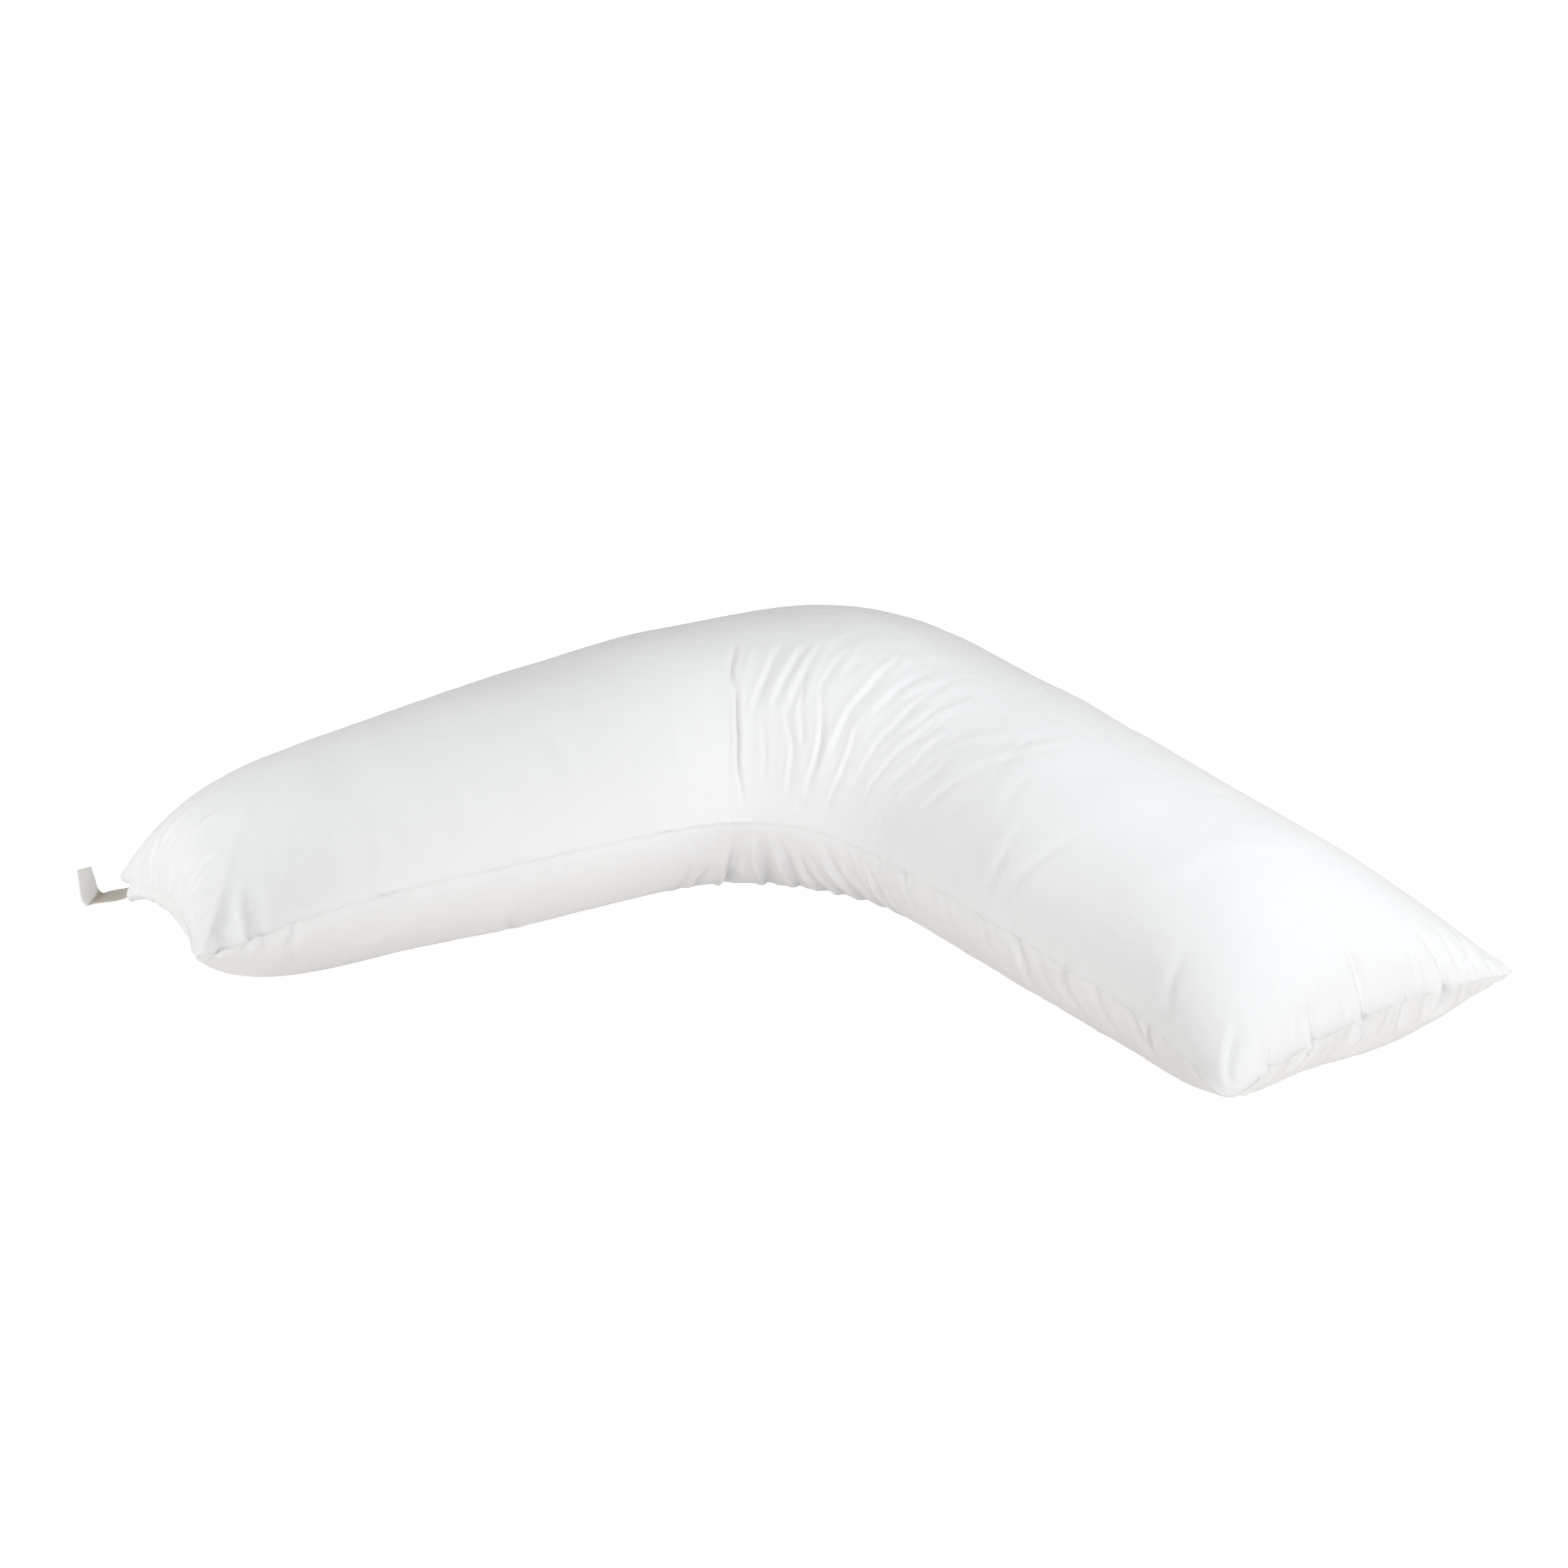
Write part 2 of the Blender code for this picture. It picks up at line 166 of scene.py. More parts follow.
TOP_FOLDS = (
    # Long creases over the top of the elbow, from its middle to the crook
    crease("lens", (-93, -13), (-99, -34), (-97, -52), 2.8, 2.8, -0.5),
    crease("lens", (-96, -38), (-100, -66), (-99, -96), 3.6, 1.9, 0.2),
    crease("lens", (-70, -15), (-84, -34), (-92, -50), -1.2, 5.0, 0.0),
    crease("lens", (-46, -18), (-64, -38), (-79, -58), 2.3, 3.2, 0.6),
    crease("lens", (-18, -20), (-37, -36), (-54, -56), 2.4, 3.0, 0.6),
    crease("lens", (-1, -17), (-17, -38), (-33, -56), 1.7, 3.4, 0.6),
    crease("lens", (24, -20), (12, -33), (4, -46), 1.5, 2.6, 0.6),
    crease("lens", (38, -14), (32, -26), (25, -37), 1.1, 3.2, 0.4),
    crease("lens", (1, -42), (18, -65), (6, -90), 3.0, 2.4, 0.4),
    crease("lens", (-19, -40), (-14, -56), (-8, -70), 1.7, 2.6, 0.3),
    crease("lens", (-42, -52), (-21, -72), (-30, -92), 2.0, 2.6, 0.5),
    crease("lens", (-66, -56), (-62, -72), (-66, -88), 1.2, 2.4, 0.3),
    crease("lens", (73, -16), (54, -42), (40, -70), 3.6, 3.4, 0.6),
    crease("lens", (63, -54), (61, -72), (48, -92), 2.6, 2.3, 0.5),
    crease("lens", (93, -20), (85, -34), (78, -48), 1.6, 3.4, 0.5),
    crease("lens", (123, -26), (110, -44), (90, -62), 1.4, 3.6, 0.5),
    crease("lens", (100, -52), (93, -66), (84, -80), 0.9, 2.6, 0.4),
    crease("lens", (149, -28), (143, -46), (118, -66), 1.1, 3.4, 0.5),
    crease("lens", (132, -56), (120, -70), (112, -82), 0.9, 2.6, 0.4),
    crease("lens", (175, -34), (168, -50), (150, -70), 1.0, 3.4, 0.5),
    crease("lens", (199, -40), (193, -54), (181, -72), 0.9, 3.0, 0.5),
    crease("lens", (224, -46), (213, -58), (206, -74), 0.9, 2.8, 0.4),
    crease("lens", (246, -48), (241, -60), (231, -74), 0.7, 3.0, 0.4),
    crease("lens", (229, -12), (241, -32), (252, -50), 0.8, 4.0, 0.3),
    crease("lens", (264, -32), (273, -47), (284, -62), 1.1, 3.6, 0.3),
    # Broad shallow folds over the arms
    crease("lens", (-140, -30), (-144, -50), (-146, -72), 0.8, 3.4, -0.2),
    crease("lens", (-158, -18), (-174, -46), (-192, -76), 1.3, 3.8, -0.3),
    crease("lens", (-200, -48), (-216, -63), (-228, -82), 1.5, 3.6, -0.5),
    crease("lens", (-288, -22), (-280, -59), (-277, -97), 1.1, 8.0, 0.3),
    crease("lens", (-372, -40), (-368, -66), (-366, -94), 0.9, 8.0, -0.2),
    crease("lens", (354, -36), (334, -64), (323, -97), 2.2, 2.8, -0.6),
    crease("lens", (304, -50), (307, -74), (311, -98), 1.7, 2.6, -0.5),
    crease("lens", (274, -70), (290, -80), (304, -92), 1.1, 2.6, -0.4),
    crease("lens", (490, -54), (496, -72), (508, -90), 1.3, 3.8, -0.4),
    # Left end: the crest that runs into the near corner, the dent beside it and the next crest
    crease("tapered", (-604, -97), (-558, -42), (-508, -4), -4.6, 7.0, 0.0),
    crease("tapered", (-583, -100), (-576, -76), (-562, -48), 3.0, 7.0, 0.0),
    crease("tapered", (-564, -100), (-563, -76), (-557, -46), -4.4, 4.4, 0.0),
    crease("tapered", (-552, -100), (-551, -88), (-546, -60), 2.4, 4.0, 0.2),
    crease("lens", (-538, -4), (-568, -4), (-598, -9), -1.6, 4.6, 0.2),
    crease("lens", (-556, 20), (-584, 24), (-602, 22), -1.4, 4.2, 0.2),
    crease("lens", (-568, -22), (-586, -26), (-602, -34), -1.0, 4.2, 0.2),
    crease("tapered", (-450, -100), (-448, -90), (-442, -62), 2.8, 4.0, 0.3),
    # Right end: soft creases that run back from the seam
    crease("lens", (534, 3), (564, 1), (589, 1), 0.9, 3.0, -0.2),
    crease("lens", (556, 15), (574, 14), (591, 16), 0.9, 2.6, -0.2),
    crease("lens", (548, 36), (572, 39), (591, 40), 1.0, 2.8, -0.2),
    crease("lens", (556, 50), (574, 51), (591, 52), 0.8, 2.6, -0.2),
    crease("lens", (540, 62), (570, 61), (591, 62), 1.1, 3.0, -0.2),
    crease("lens", (558, 78), (574, 76), (591, 78), 1.0, 2.8, -0.2),
    crease("lens", (540, -17), (570, -18), (590, -17), 0.8, 3.2, -0.2),
    crease("lens", (558, -35), (574, -36), (590, -38), 0.8, 3.0, -0.2),
    crease("lens", (560, -60), (577, -82), (587, -96), 3.0, 3.6, 0.5),
    # Puckers that cross the end seams
    crease("tapered", (591, 0), (580, 0), (566, 2), 3.8, 2.8, -0.5),
    crease("tapered", (591, 42), (580, 41), (568, 41), 3.4, 2.6, -0.5),
    crease("tapered", (591, -26), (580, -25), (568, -24), 3.0, 2.8, -0.4),
    crease("tapered", (591, -52), (582, -50), (570, -49), 2.2, 2.6, -0.3),
    crease("tapered", (591, 22), (583, 21), (570, 22), 2.2, 2.6, 0.2),
    crease("tapered", (-606, -30), (-588, -28), (-560, -26), 2.4, 3.0, 0.2),
    crease("tapered", (-606, 30), (-590, 31), (-566, 32), 2.6, 2.8, 0.2),
    # Puckers of the outer seam around the elbow
    crease("tapered", (-150, 100), (-146, 88), (-138, 70), 2.6, 6.0, 0.3),
    crease("tapered", (30, 100), (26, 86), (18, 66), 3.0, 7.0, -0.3),
    crease("tapered", (190, 100), (186, 86), (178, 70), 2.6, 6.0, 0.3),
)
UNDER_FOLDS = (
    # Pleats of the crook, deepest where the cloth tucks in at the floor
    crease("tapered", (-168, -48), (-168, -60), (-174, -74), 4.0, 5.0, -0.4),
    crease("tapered", (-146, -46), (-144, -60), (-140, -74), 4.6, 4.6, -0.4),
    crease("tapered", (-114, -44), (-110, -70), (-106, -98), 8.0, 4.4, -0.6),
    crease("tapered", (-88, -52), (-90, -70), (-88, -86), 1.8, 3.0, -0.4),
    crease("tapered", (-62, -44), (-66, -72), (-74, -97), 7.4, 4.6, -0.6),
    crease("tapered", (-24, -44), (-32, -70), (-44, -97), 6.6, 4.4, -0.6),
    crease("tapered", (10, -46), (-2, -70), (-18, -94), 6.0, 4.4, -0.6),
    crease("tapered", (36, -46), (28, -64), (12, -86), 4.6, 3.8, -0.6),
    crease("tapered", (72, -44), (60, -74), (40, -94), 6.8, 4.8, -0.6),
    crease("tapered", (110, -46), (104, -66), (90, -88), 4.6, 4.6, -0.5),
    crease("tapered", (146, -47), (145, -76), (151, -96), 5.0, 4.0, -0.5),
    crease("tapered", (178, -50), (180, -70), (186, -90), 2.8, 3.6, -0.4),
    crease("lens", (-190, -97), (-174, -90), (-158, -83), 1.8, 2.8, 0.4),
    crease("lens", (66, -95), (80, -80), (92, -62), 1.5, 3.0, 0.4),
    crease("lens", (120, -97), (122, -86), (124, -72), 1.5, 3.0, 0.3),
    # Puckers of the right arm's inner seam
    crease("tapered", (212, -100), (214, -88), (220, -72), 2.4, 3.2, 0.3),
    crease("tapered", (262, -100), (264, -90), (268, -74), 2.0, 3.2, 0.3),
    crease("tapered", (309, -100), (311, -92), (314, -78), 2.8, 3.4, 0.3),
    crease("tapered", (346, -100), (350, -82), (358, -56), 4.0, 4.2, 0.4),
    crease("tapered", (372, -99), (378, -82), (388, -62), 2.4, 3.6, 0.3),
    crease("tapered", (395, -99), (400, -78), (426, -54), 3.8, 4.0, 0.4),
    crease("tapered", (430, -100), (436, -84), (448, -66), 2.8, 3.8, 0.3),
    crease("tapered", (466, -100), (478, -88), (496, -72), 3.6, 3.8, 0.4),
    crease("tapered", (487, -99), (491, -80), (499, -60), 3.4, 3.8, -0.3),
    crease("tapered", (540, -100), (560, -95), (578, -88), 4.6, 4.0, 0.3),
    # Left arm: the folds below the seam, and a tuck at the floor
    crease("tapered", (-440, -100), (-434, -86), (-436, -58), 4.2, 5.0, 0.4),
    crease("tapered", (-521, -100), (-524, -90), (-528, -66), 2.8, 4.6, 0.3),
    crease("tapered", (-546, -100), (-549, -94), (-555, -80), 2.4, 4.0, 0.3),
    crease("tapered", (-558, -100), (-562, -95), (-568, -88), 4.4, 4.0, 0.3),
    crease("tapered", (-586, -100), (-590, -92), (-596, -70), 2.6, 4.0, 0.3),
    crease("tapered", (-300, -100), (-296, -88), (-290, -72), 1.4, 6.0, 0.2),
    crease("tapered", (-330, -48), (-330, -62), (-326, -76), 3.2, 6.0, 0.2),
    crease("tapered", (-208, -100), (-204, -86), (-196, -68), 1.6, 5.0, 0.2),
    # Puckers that cross the end seams
    crease("tapered", (591, 0), (582, 2), (556, 6), 15.0, 5.2, 0.8),
    crease("tapered", (591, 42), (584, 41), (562, 36), 13.0, 4.6, 0.6),
    crease("tapered", (591, -26), (582, -31), (556, -46), 12.0, 5.2, 0.8),
    crease("tapered", (591, -52), (583, -57), (562, -68), 7.0, 4.6, 0.6),
    crease("tapered", (591, 22), (585, 23), (566, 26), 3.6, 3.2, 0.4),
    crease("tapered", (-606, -30), (-596, -30), (-580, -30), 3.4, 4.0, 0.2),
    crease("tapered", (-606, 30), (-598, 30), (-584, 30), 3.0, 4.0, 0.2),
    crease("tapered", (-606, 66), (-602, 68), (-594, 70), 4.0, 4.0, 0.2),
    crease("lens", (-605, 86), (-604.5, 60), (-604.5, 15), -7.0, 9.0, 0.0),
    # Pucker of the outer seam at the elbow
    crease("tapered", (30, 100), (30, 88), (34, 72), 3.2, 7.0, 0.3),
)

# Small puckers along the seams: span and gap run along the seam and reach in from it, metres
Puckers = namedtuple("Puckers", "panel edge span gap reach depth width seed")
PUCKERS = (
    Puckers("top", "outer", (-0.560, 0.560), 0.034, 0.043, 1.9, 4.4, 11),
    Puckers("top", "inner", (-0.540, -0.180), 0.060, 0.020, 0.8, 3.2, 12),
    Puckers("top", "inner", (0.160, 0.560), 0.048, 0.023, 0.9, 3.2, 13),
    Puckers("top", "left_end", (-0.120, 0.135), 0.015, 0.040, 1.5, 2.8, 17),
    Puckers("top", "right_end", (-0.125, 0.140), 0.020, 0.036, 1.5, 3.0, 18),
    Puckers("under", "outer", (-0.560, 0.560), 0.030, 0.043, 2.2, 4.2, 14),
    Puckers("under", "inner", (-0.560, -0.180), 0.040, 0.033, 1.1, 3.8, 15),
    Puckers("under", "inner", (0.160, 0.560), 0.034, 0.033, 1.3, 3.6, 16),
    Puckers("under", "left_end", (-0.130, 0.140), 0.018, 0.030, 1.8, 3.0, 19),
    Puckers("under", "right_end", (-0.130, 0.140), 0.018, 0.034, 2.0, 3.2, 20),
)

# Gathers: ripples square to a seam, fading over reach
Gather = namedtuple("Gather", "edge panel pitch height reach seed")
GATHERS = (
    Gather("left_end", "top", 0.0046, 0.60, 0.038, 21),
    Gather("left_end", "under", 0.0090, 0.60, 0.016, 22),
    Gather("right_end", "top", 0.0095, 0.55, 0.022, 23),
    Gather("right_end", "under", 0.0110, 0.80, 0.018, 24),
    Gather("inner", "top", 0.0070, 0.22, 0.008, 25),
    Gather("inner", "under", 0.0080, 0.45, 0.014, 26),
    Gather("outer", "top", 0.0080, 0.40, 0.016, 27),
    Gather("outer", "under", 0.0080, 0.45, 0.016, 28),
)

# Crinkles: patches of lobes between sharp creases, which run across the pillow at a slant
Crinkle = namedtuple("Crinkle", "panel along across pitch length slant height seed")
CRINKLES = (
    Crinkle("top", (+0.03, 0.12), (-0.45, 0.36), 0.012, 0.055, 0.25, 1.30, 61),
    Crinkle("top", (+0.19, 0.10), (-0.40, 0.34), 0.017, 0.055, 0.45, 0.80, 62),
    Crinkle("top", (-0.15, 0.08), (-0.45, 0.40), 0.020, 0.080, 0.05, 0.80, 63),
    Crinkle("top", (-0.33, 0.20), (-0.10, 0.80), 0.036, 0.140, 0.10, 1.00, 64),
    Crinkle("top", (+0.40, 0.20), (-0.10, 0.80), 0.036, 0.120, 0.15, 1.00, 65),
    Crinkle("top", (+0.03, 0.20), (+0.60, 0.45), 0.030, 0.090, 0.10, 0.60, 66),
    Crinkle("under", (+0.02, 0.12), (-0.75, 0.30), 0.019, 0.050, 0.30, 1.00, 67),
    Crinkle("under", (+0.36, 0.22), (-0.75, 0.30), 0.020, 0.060, 0.50, 0.80, 68),
    Crinkle("under", (-0.36, 0.22), (-0.75, 0.30), 0.030, 0.070, 0.20, 0.50, 69),
    Crinkle("under", (+0.00, 0.60), (+0.80, 0.30), 0.022, 0.060, 0.20, 0.90, 70),
)
LOBE_CREASE = 0.10
CRINKLE_END_FADE = 0.03

# Seam, mm: its edge stands out as a narrow welt, and the cloth dips beside it
SeamEdge = namedtuple("SeamEdge", "edges welt top_dip under_dip")
SEAM_EDGES = (
    SeamEdge(("left_end", "right_end"), 1.8, 0.5, 2.4),
    SeamEdge(("inner", "outer"), 0.45, 0.15, 0.45),
)
WELT_WIDTH = 1.4
DIP_PLACE = 3.8
DIP_WIDTH = 2.0
SEAM_CORNER = 12

# Filling: soft lumps under the cover
LUMP_HEIGHT = 1.0
LUMP_PITCH = 0.085
LUMP_FADE = 0.05
LUMP_SEEDS = {"top": 41, "under": 44}

# Swelling of the cover by simulation
SWELL_CELLS = (200, 46)
SWELL_FRAMES = 24
SWELL_PRESSURE = 4
SWELL_HOLD = 0.11
SWELL_CAP = 0.006
SWELL_QUALITY = 5
SWELL_MASS = 0.02
SWELL_STRETCH = 15
SWELL_SHEAR = 5
SWELL_BEND = 0.05
RESTING_HEIGHT = 1e-6
SEEDED_SHARE = 0.7

# Stitches, metres
STITCH_PITCH = 0.0028
STITCH_LENGTH = 0.0019
STITCH_RADIUS = 0.00032
STITCH_LOOK = 0.0004
STITCH_SIDES = 6
STITCH_RINGS = ((0.00, 0.3), (0.12, 0.85), (0.35, 1.0), (0.65, 1.0), (0.88, 0.85), (1.00, 0.3))

# Ribbon tab
RIBBON_WIDTH = 0.024
RIBBON_THICKNESS = 0.0008
RIBBON_HEADING = math.radians(197)
RIBBON_STEPS = 72
RIBBON_CELLS = 20
GAP = 0.0003

# Grid points of the seam on each side of the far left corner, which the ribbon is sewn along
CORNER_POINTS = 36

# Ribbon rows: lead is how far the near edge runs ahead, tilt how far it stands above the far edge
RibbonRow = namedtuple("RibbonRow", "place run lead height tilt")
RIBBON_ROWS = (
    RibbonRow(0.00, 0.0000, 0.0000, 0.0050, 0.000),
    RibbonRow(0.14, 0.0120, 0.0000, 0.0052, 0.000),
    RibbonRow(0.32, 0.0270, 0.0060, 0.0042, 0.000),
    RibbonRow(0.46, 0.0370, 0.0100, 0.0026, 0.000),
    RibbonRow(0.57, 0.0444, 0.0112, 0.0010, 0.000),
    RibbonRow(0.65, 0.0470, 0.0105, 0.0050, 0.002),
    RibbonRow(0.81, 0.0482, 0.0090, 0.0165, 0.005),
    RibbonRow(1.00, 0.0494, 0.0074, 0.0300, 0.008),
)
RIBBON_JOINED = 0.3
RIBBON_BEND = (0.043, 0.048)

# Cloth roughness varies by this much each way
ROUGHNESS_VARIES = 0.06

# Camera at the photograph's angle, for a square picture
CAMERA_PLACE = (0.4740, -1.8341, 0.9718)
CAMERA_TILT = math.radians(24.0767)
CAMERA_TURN = math.radians(14.4854)
CAMERA_LENS = 58.617
SENSOR_WIDTH = 36

# Studio: azimuth 0 is the camera's side and 90 its right; suns are wide and even, lamps stand near
LIGHT_COLOUR = (0.92, 0.96, 1.00)
SUN_DISTANCE = 3
Sun = namedtuple("Sun", "name azimuth elevation spread strength")
SUNS = (
    Sun("front", 0, 20, 50, 0.80),
    Sun("front_low", 0, 8, 30, 0.80),
    Sun("back", 180, 45, 50, 0.25),
    Sun("back_left", -130, 40, 40, 0.30),
)
Lamp = namedtuple("Lamp", "name azimuth elevation distance width power")
LAMPS = (
    Lamp("left", -75, 20, 1.60, 0.8, 0.80),
    Lamp("left_end", -80, 25, 1.00, 0.4, 1.80),
    Lamp("right_end", 75, 45, 1.00, 0.4, 4.00),
    Lamp("front_right", 30, 15, 1.20, 0.5, 1.00),
)
LAMP_TARGET = (0.0, 0.0, 0.10)
BackdropStop = namedtuple("BackdropStop", "height strength")
BACKDROP = (BackdropStop(0.00, 0.60), BackdropStop(0.12, 0.60), BackdropStop(0.50, 0.30))
BACKDROP_COLOUR = (1.00, 0.95, 0.85)
FLOOR_COLOUR = (0.90, 0.90, 0.90)
FLOOR_GLOW = 0.75
FLOOR_RADIUS = 200.0
BOUNCE_COLOUR = (0.75, 0.70, 0.65)
BOUNCE_GLOW = 0.10
BOUNCE_DEPTH = 0.001


def smooth_curve(keys, values, at):
    """Smooth curve through values, one for each key, along their first axis."""
    slopes = np.gradient(values, keys, axis=0)
    row = np.clip(np.searchsorted(keys, at, side="right") - 1, 0, len(keys) - 2)
    step = keys[row + 1] - keys[row]
    t = (at - keys[row]) / step
    if values.ndim > 1:
        step = step.reshape(step.shape + (1,) * (values.ndim - 1))
        t = t.reshape(step.shape)
    start = (1 + 2 * t) * (1 - t) ** 2 * values[row] + t * (1 - t) ** 2 * step * slopes[row]
    end = (3 - 2 * t) * t ** 2 * values[row + 1] - (1 - t) * t ** 2 * step * slopes[row + 1]
    return start + end


def through_rows(rows, key, column, at):
    """Smooth curve through one column of a table, over its key column."""
    keys = np.array([getattr(row, key) for row in rows])
    return smooth_curve(keys, np.array([getattr(row, column) for row in rows]), at)


def irregular(at, pitch, seed):
    """Smooth random values between -1 and 1 that change over about one pitch."""
    low, high = at.min() - 2 * pitch, at.max() + 2 * pitch
    keys = np.arange(low, high + pitch, pitch)
    random = np.random.default_rng(seed)
    keys = keys + random.uniform(-0.3, 0.3, len(keys)) * pitch
    return smooth_curve(keys, random.uniform(-1, 1, len(keys)), at)


def random_field(u, v, pitch, seed):
    """Smooth random values between -1 and 1 over a plane, changing over one pitch each way."""
    u, v = (u - u.min()) / pitch[0], (v - v.min()) / pitch[1]
    column, row = u.astype(int), v.astype(int)
    values = np.random.default_rng(seed).uniform(-1, 1, (column.max() + 2, row.max() + 2))
    u, v = (t ** 3 * (t * (6 * t - 15) + 10) for t in (u - column, v - row))
    near = values[column, row] * (1 - u) + values[column + 1, row] * u
    far = values[column, row + 1] * (1 - u) + values[column + 1, row + 1] * u
    return near * (1 - v) + far * v


def lobes(values):
    """Rounded lobes between narrow creases, where the values cross zero."""
    return np.sqrt(values ** 2 + LOBE_CREASE ** 2) * 2 - 1


def spine(along):
    """Middle line in plan, a straight, an arc and a straight, with its tangent."""
    on_arc = np.clip(along, -ARC, ARC)
    turn = on_arc / ELBOW_RADIUS
    tangent_x = np.cos(turn)
    tangent_y = -np.sin(turn)
    x = ELBOW_MIDDLE[0] + ELBOW_RADIUS * np.sin(turn) + (along - on_arc) * tangent_x
    y = ELBOW_MIDDLE[1] + ELBOW_RADIUS * (np.cos(turn) - 1) + (along - on_arc) * tangent_y
    return x, y, tangent_x, tangent_y


def end_values(along, column):
    """One column of the table of ends, for the end that each station is nearer to."""
    return np.where(along < 0, getattr(LEFT_END, column), getattr(RIGHT_END, column))


def panel_points(along, across, panel):
    """Points of one panel before it is folded and set down."""
    left = along < 0
    share = along / np.where(left, LEFT_LENGTH, RIGHT_LENGTH)
    inner, outer, crown, inner_seam, outer_seam = (
        through_rows(SECTIONS, "share", column, share) for column in Section._fields[1:])
    side = np.sin(across * TOP_SEAM_ANGLE) / math.sin(TOP_SEAM_ANGLE)
    half_width = np.where(across < 0, inner, outer)
    to_end = np.where(left, LEFT_LENGTH, RIGHT_LENGTH) - np.abs(along)
    nearness = np.clip(1 - to_end / TOP_ROUNDING, 0, 1)

    # The end seam bows inwards, and each corner is a little blunt
    bow = end_values(along, "bow") * (1 - side ** 2) * nearness ** 2
    left_blunting = np.where(across < 0, LEFT_BLUNTING.inner, LEFT_BLUNTING.outer)
    right_blunting = np.where(across < 0, RIGHT_BLUNTING.inner, RIGHT_BLUNTING.outer)
    blunting = np.where(left, left_blunting, right_blunting)
    from_corner = to_end + half_width * (1 - np.abs(side))
    blunt = blunting / 2 * np.clip(1 - from_corner / (2 * blunting), 0, 1) ** 2
    x, y, tangent_x, tangent_y = spine(along - np.sign(along) * (bow + blunt))
    offset = side * half_width - np.sign(across) * blunt

    # Heights: the seam tilts across the pillow, the crown and the belly leave it as arcs
    rise = end_values(along, "rise") * (1 - side ** 2) * nearness ** 2
    seam = inner_seam + (outer_seam - inner_seam) * (side + 1) / 2 + rise
    seam_angle = TOP_SEAM_ANGLE if panel == "top" else UNDER_SEAM_ANGLE
    arch = (np.cos(across * seam_angle) - math.cos(seam_angle)) / (1 - math.cos(seam_angle))
    if panel == "top":
        height = (crown - seam) * np.sqrt(1 - nearness ** 2)
    else:
        beneath = np.exp(-((side - UNDERCUT_SIDE) / UNDERCUT_SPREAD) ** 2)
        undercut = beneath * end_values(along, "undercut")
        closeness = np.clip(1 - to_end / (end_values(along, "under_rounding") + undercut), 0, 1)
        closing = (1 - closeness ** 2) ** (end_values(along, "under_power") / 2)
        height = -UNDERSIDE_DROP * np.maximum(seam, LEAST_DROP_HEIGHT) * closing
    return np.stack((x - tangent_y * offset, y + tangent_x * offset, seam + height * arch), axis=-1)


def outward_normals(points, panel):
    """Unit normals of a grid of points, pointing out of the pillow."""
    normals = np.cross(np.gradient(points, axis=0), np.gradient(points, axis=1))
    normals /= np.maximum(np.linalg.norm(normals, axis=-1, keepdims=True), 1e-12)
    return normals if panel == "top" else -normals


def spaced(stops):
    """An even count of steps from the first stop to the last, as long as the stops nearby say."""
    fine = np.linspace(stops[0].place, stops[-1].place, 6001)
    spacing = np.interp(fine, [stop.place for stop in stops], [stop.pitch for stop in stops])
    count = np.concatenate(([0], np.cumsum((fine[1:] - fine[:-1]) * 2 / (spacing[1:] + spacing[:-1]))))
    return np.interp(np.linspace(0, count[-1], 2 * round(count[-1] / 2) + 1), count, fine)


def fold_path(fold, panel):
    """Points in space along a fold."""
    stops = np.array(fold.path)
    keys = np.linspace(0, 1, len(stops))
    run = smooth_curve(keys, stops, np.linspace(0, 1, PATH_POINTS))
    along = np.clip(run[:, 0], -LEFT_LENGTH, RIGHT_LENGTH)
    return panel_points(along, np.clip(run[:, 1], -1, 1), panel)


def beside_path(points, normals, path):
    """Signed distance of each point from a path, positive on its right, and its place along it."""
    best = np.full(points.shape[:-1], np.inf)
    place = np.zeros(points.shape[:-1])
    side = np.ones(points.shape[:-1])
    for step, (start, end) in enumerate(zip(path[:-1], path[1:])):
        run = end - start
        t = np.clip((points - start) @ run / max(run @ run, 1e-12), 0, 1)
        away = points - start - t[..., None] * run
        distance = np.linalg.norm(away, axis=-1)
        nearer = distance < best
        to_right = np.sum(away * np.cross(run, normals), axis=-1)
        side = np.where(nearer, np.sign(to_right), side)
        place = np.where(nearer, (step + t) / (len(path) - 1), place)
        best = np.where(nearer, distance, best)
    return best * side, place


def fold_relief(points, normals, along, across, folds, panel):
    """How far each point moves out of the smooth surface, in mm: troughs are negative."""
    relief = np.zeros(points.shape[:-1])
    for number, fold in enumerate(folds):
        stops = np.array(fold.path)[:, 0]
        margin = FOLD_MARGIN + FOLD_REACH * fold.width * MM
        rows = np.where((along[:, 0] > stops.min() - margin) & (along[:, 0] < stops.max() + margin))[0]
        window = slice(rows[0], rows[-1] + 1)
        beside, place = beside_path(points[window], normals[window], fold_path(fold, panel))
        tapered = fold.kind == "tapered"
        widening = TAPERED_WIDENING[0] + TAPERED_WIDENING[1] * place if tapered else 1
        wander = WANDER * irregular(place, WANDER_PITCH, WANDER_SEED + number)
        beside = beside / (fold.width * MM * widening) + wander
        steeper = beside * (1 + 0.5 * fold.lean * np.sign(beside))
        ridges = RIDGE_SHARE * np.exp(-((np.abs(steeper) - RIDGE_PLACE) / RIDGE_WIDTH) ** 2)
        ridges = ridges * (1 + fold.lean * np.sign(beside))
        if tapered:
            fade = np.cos(math.pi / 2 * place)
        else:
            fade = np.sin(math.pi * place) ** LENS_FADE * (1 - np.abs(across[window]) ** SEAM_FADE)
        depth = fold.depth * (1 + UNEVEN * irregular(place, UNEVEN_PITCH, UNEVEN_SEED + number))
        relief[window] -= depth * fade * (np.exp(-np.abs(steeper) ** TROUGH_POWER) - ridges)
    return relief


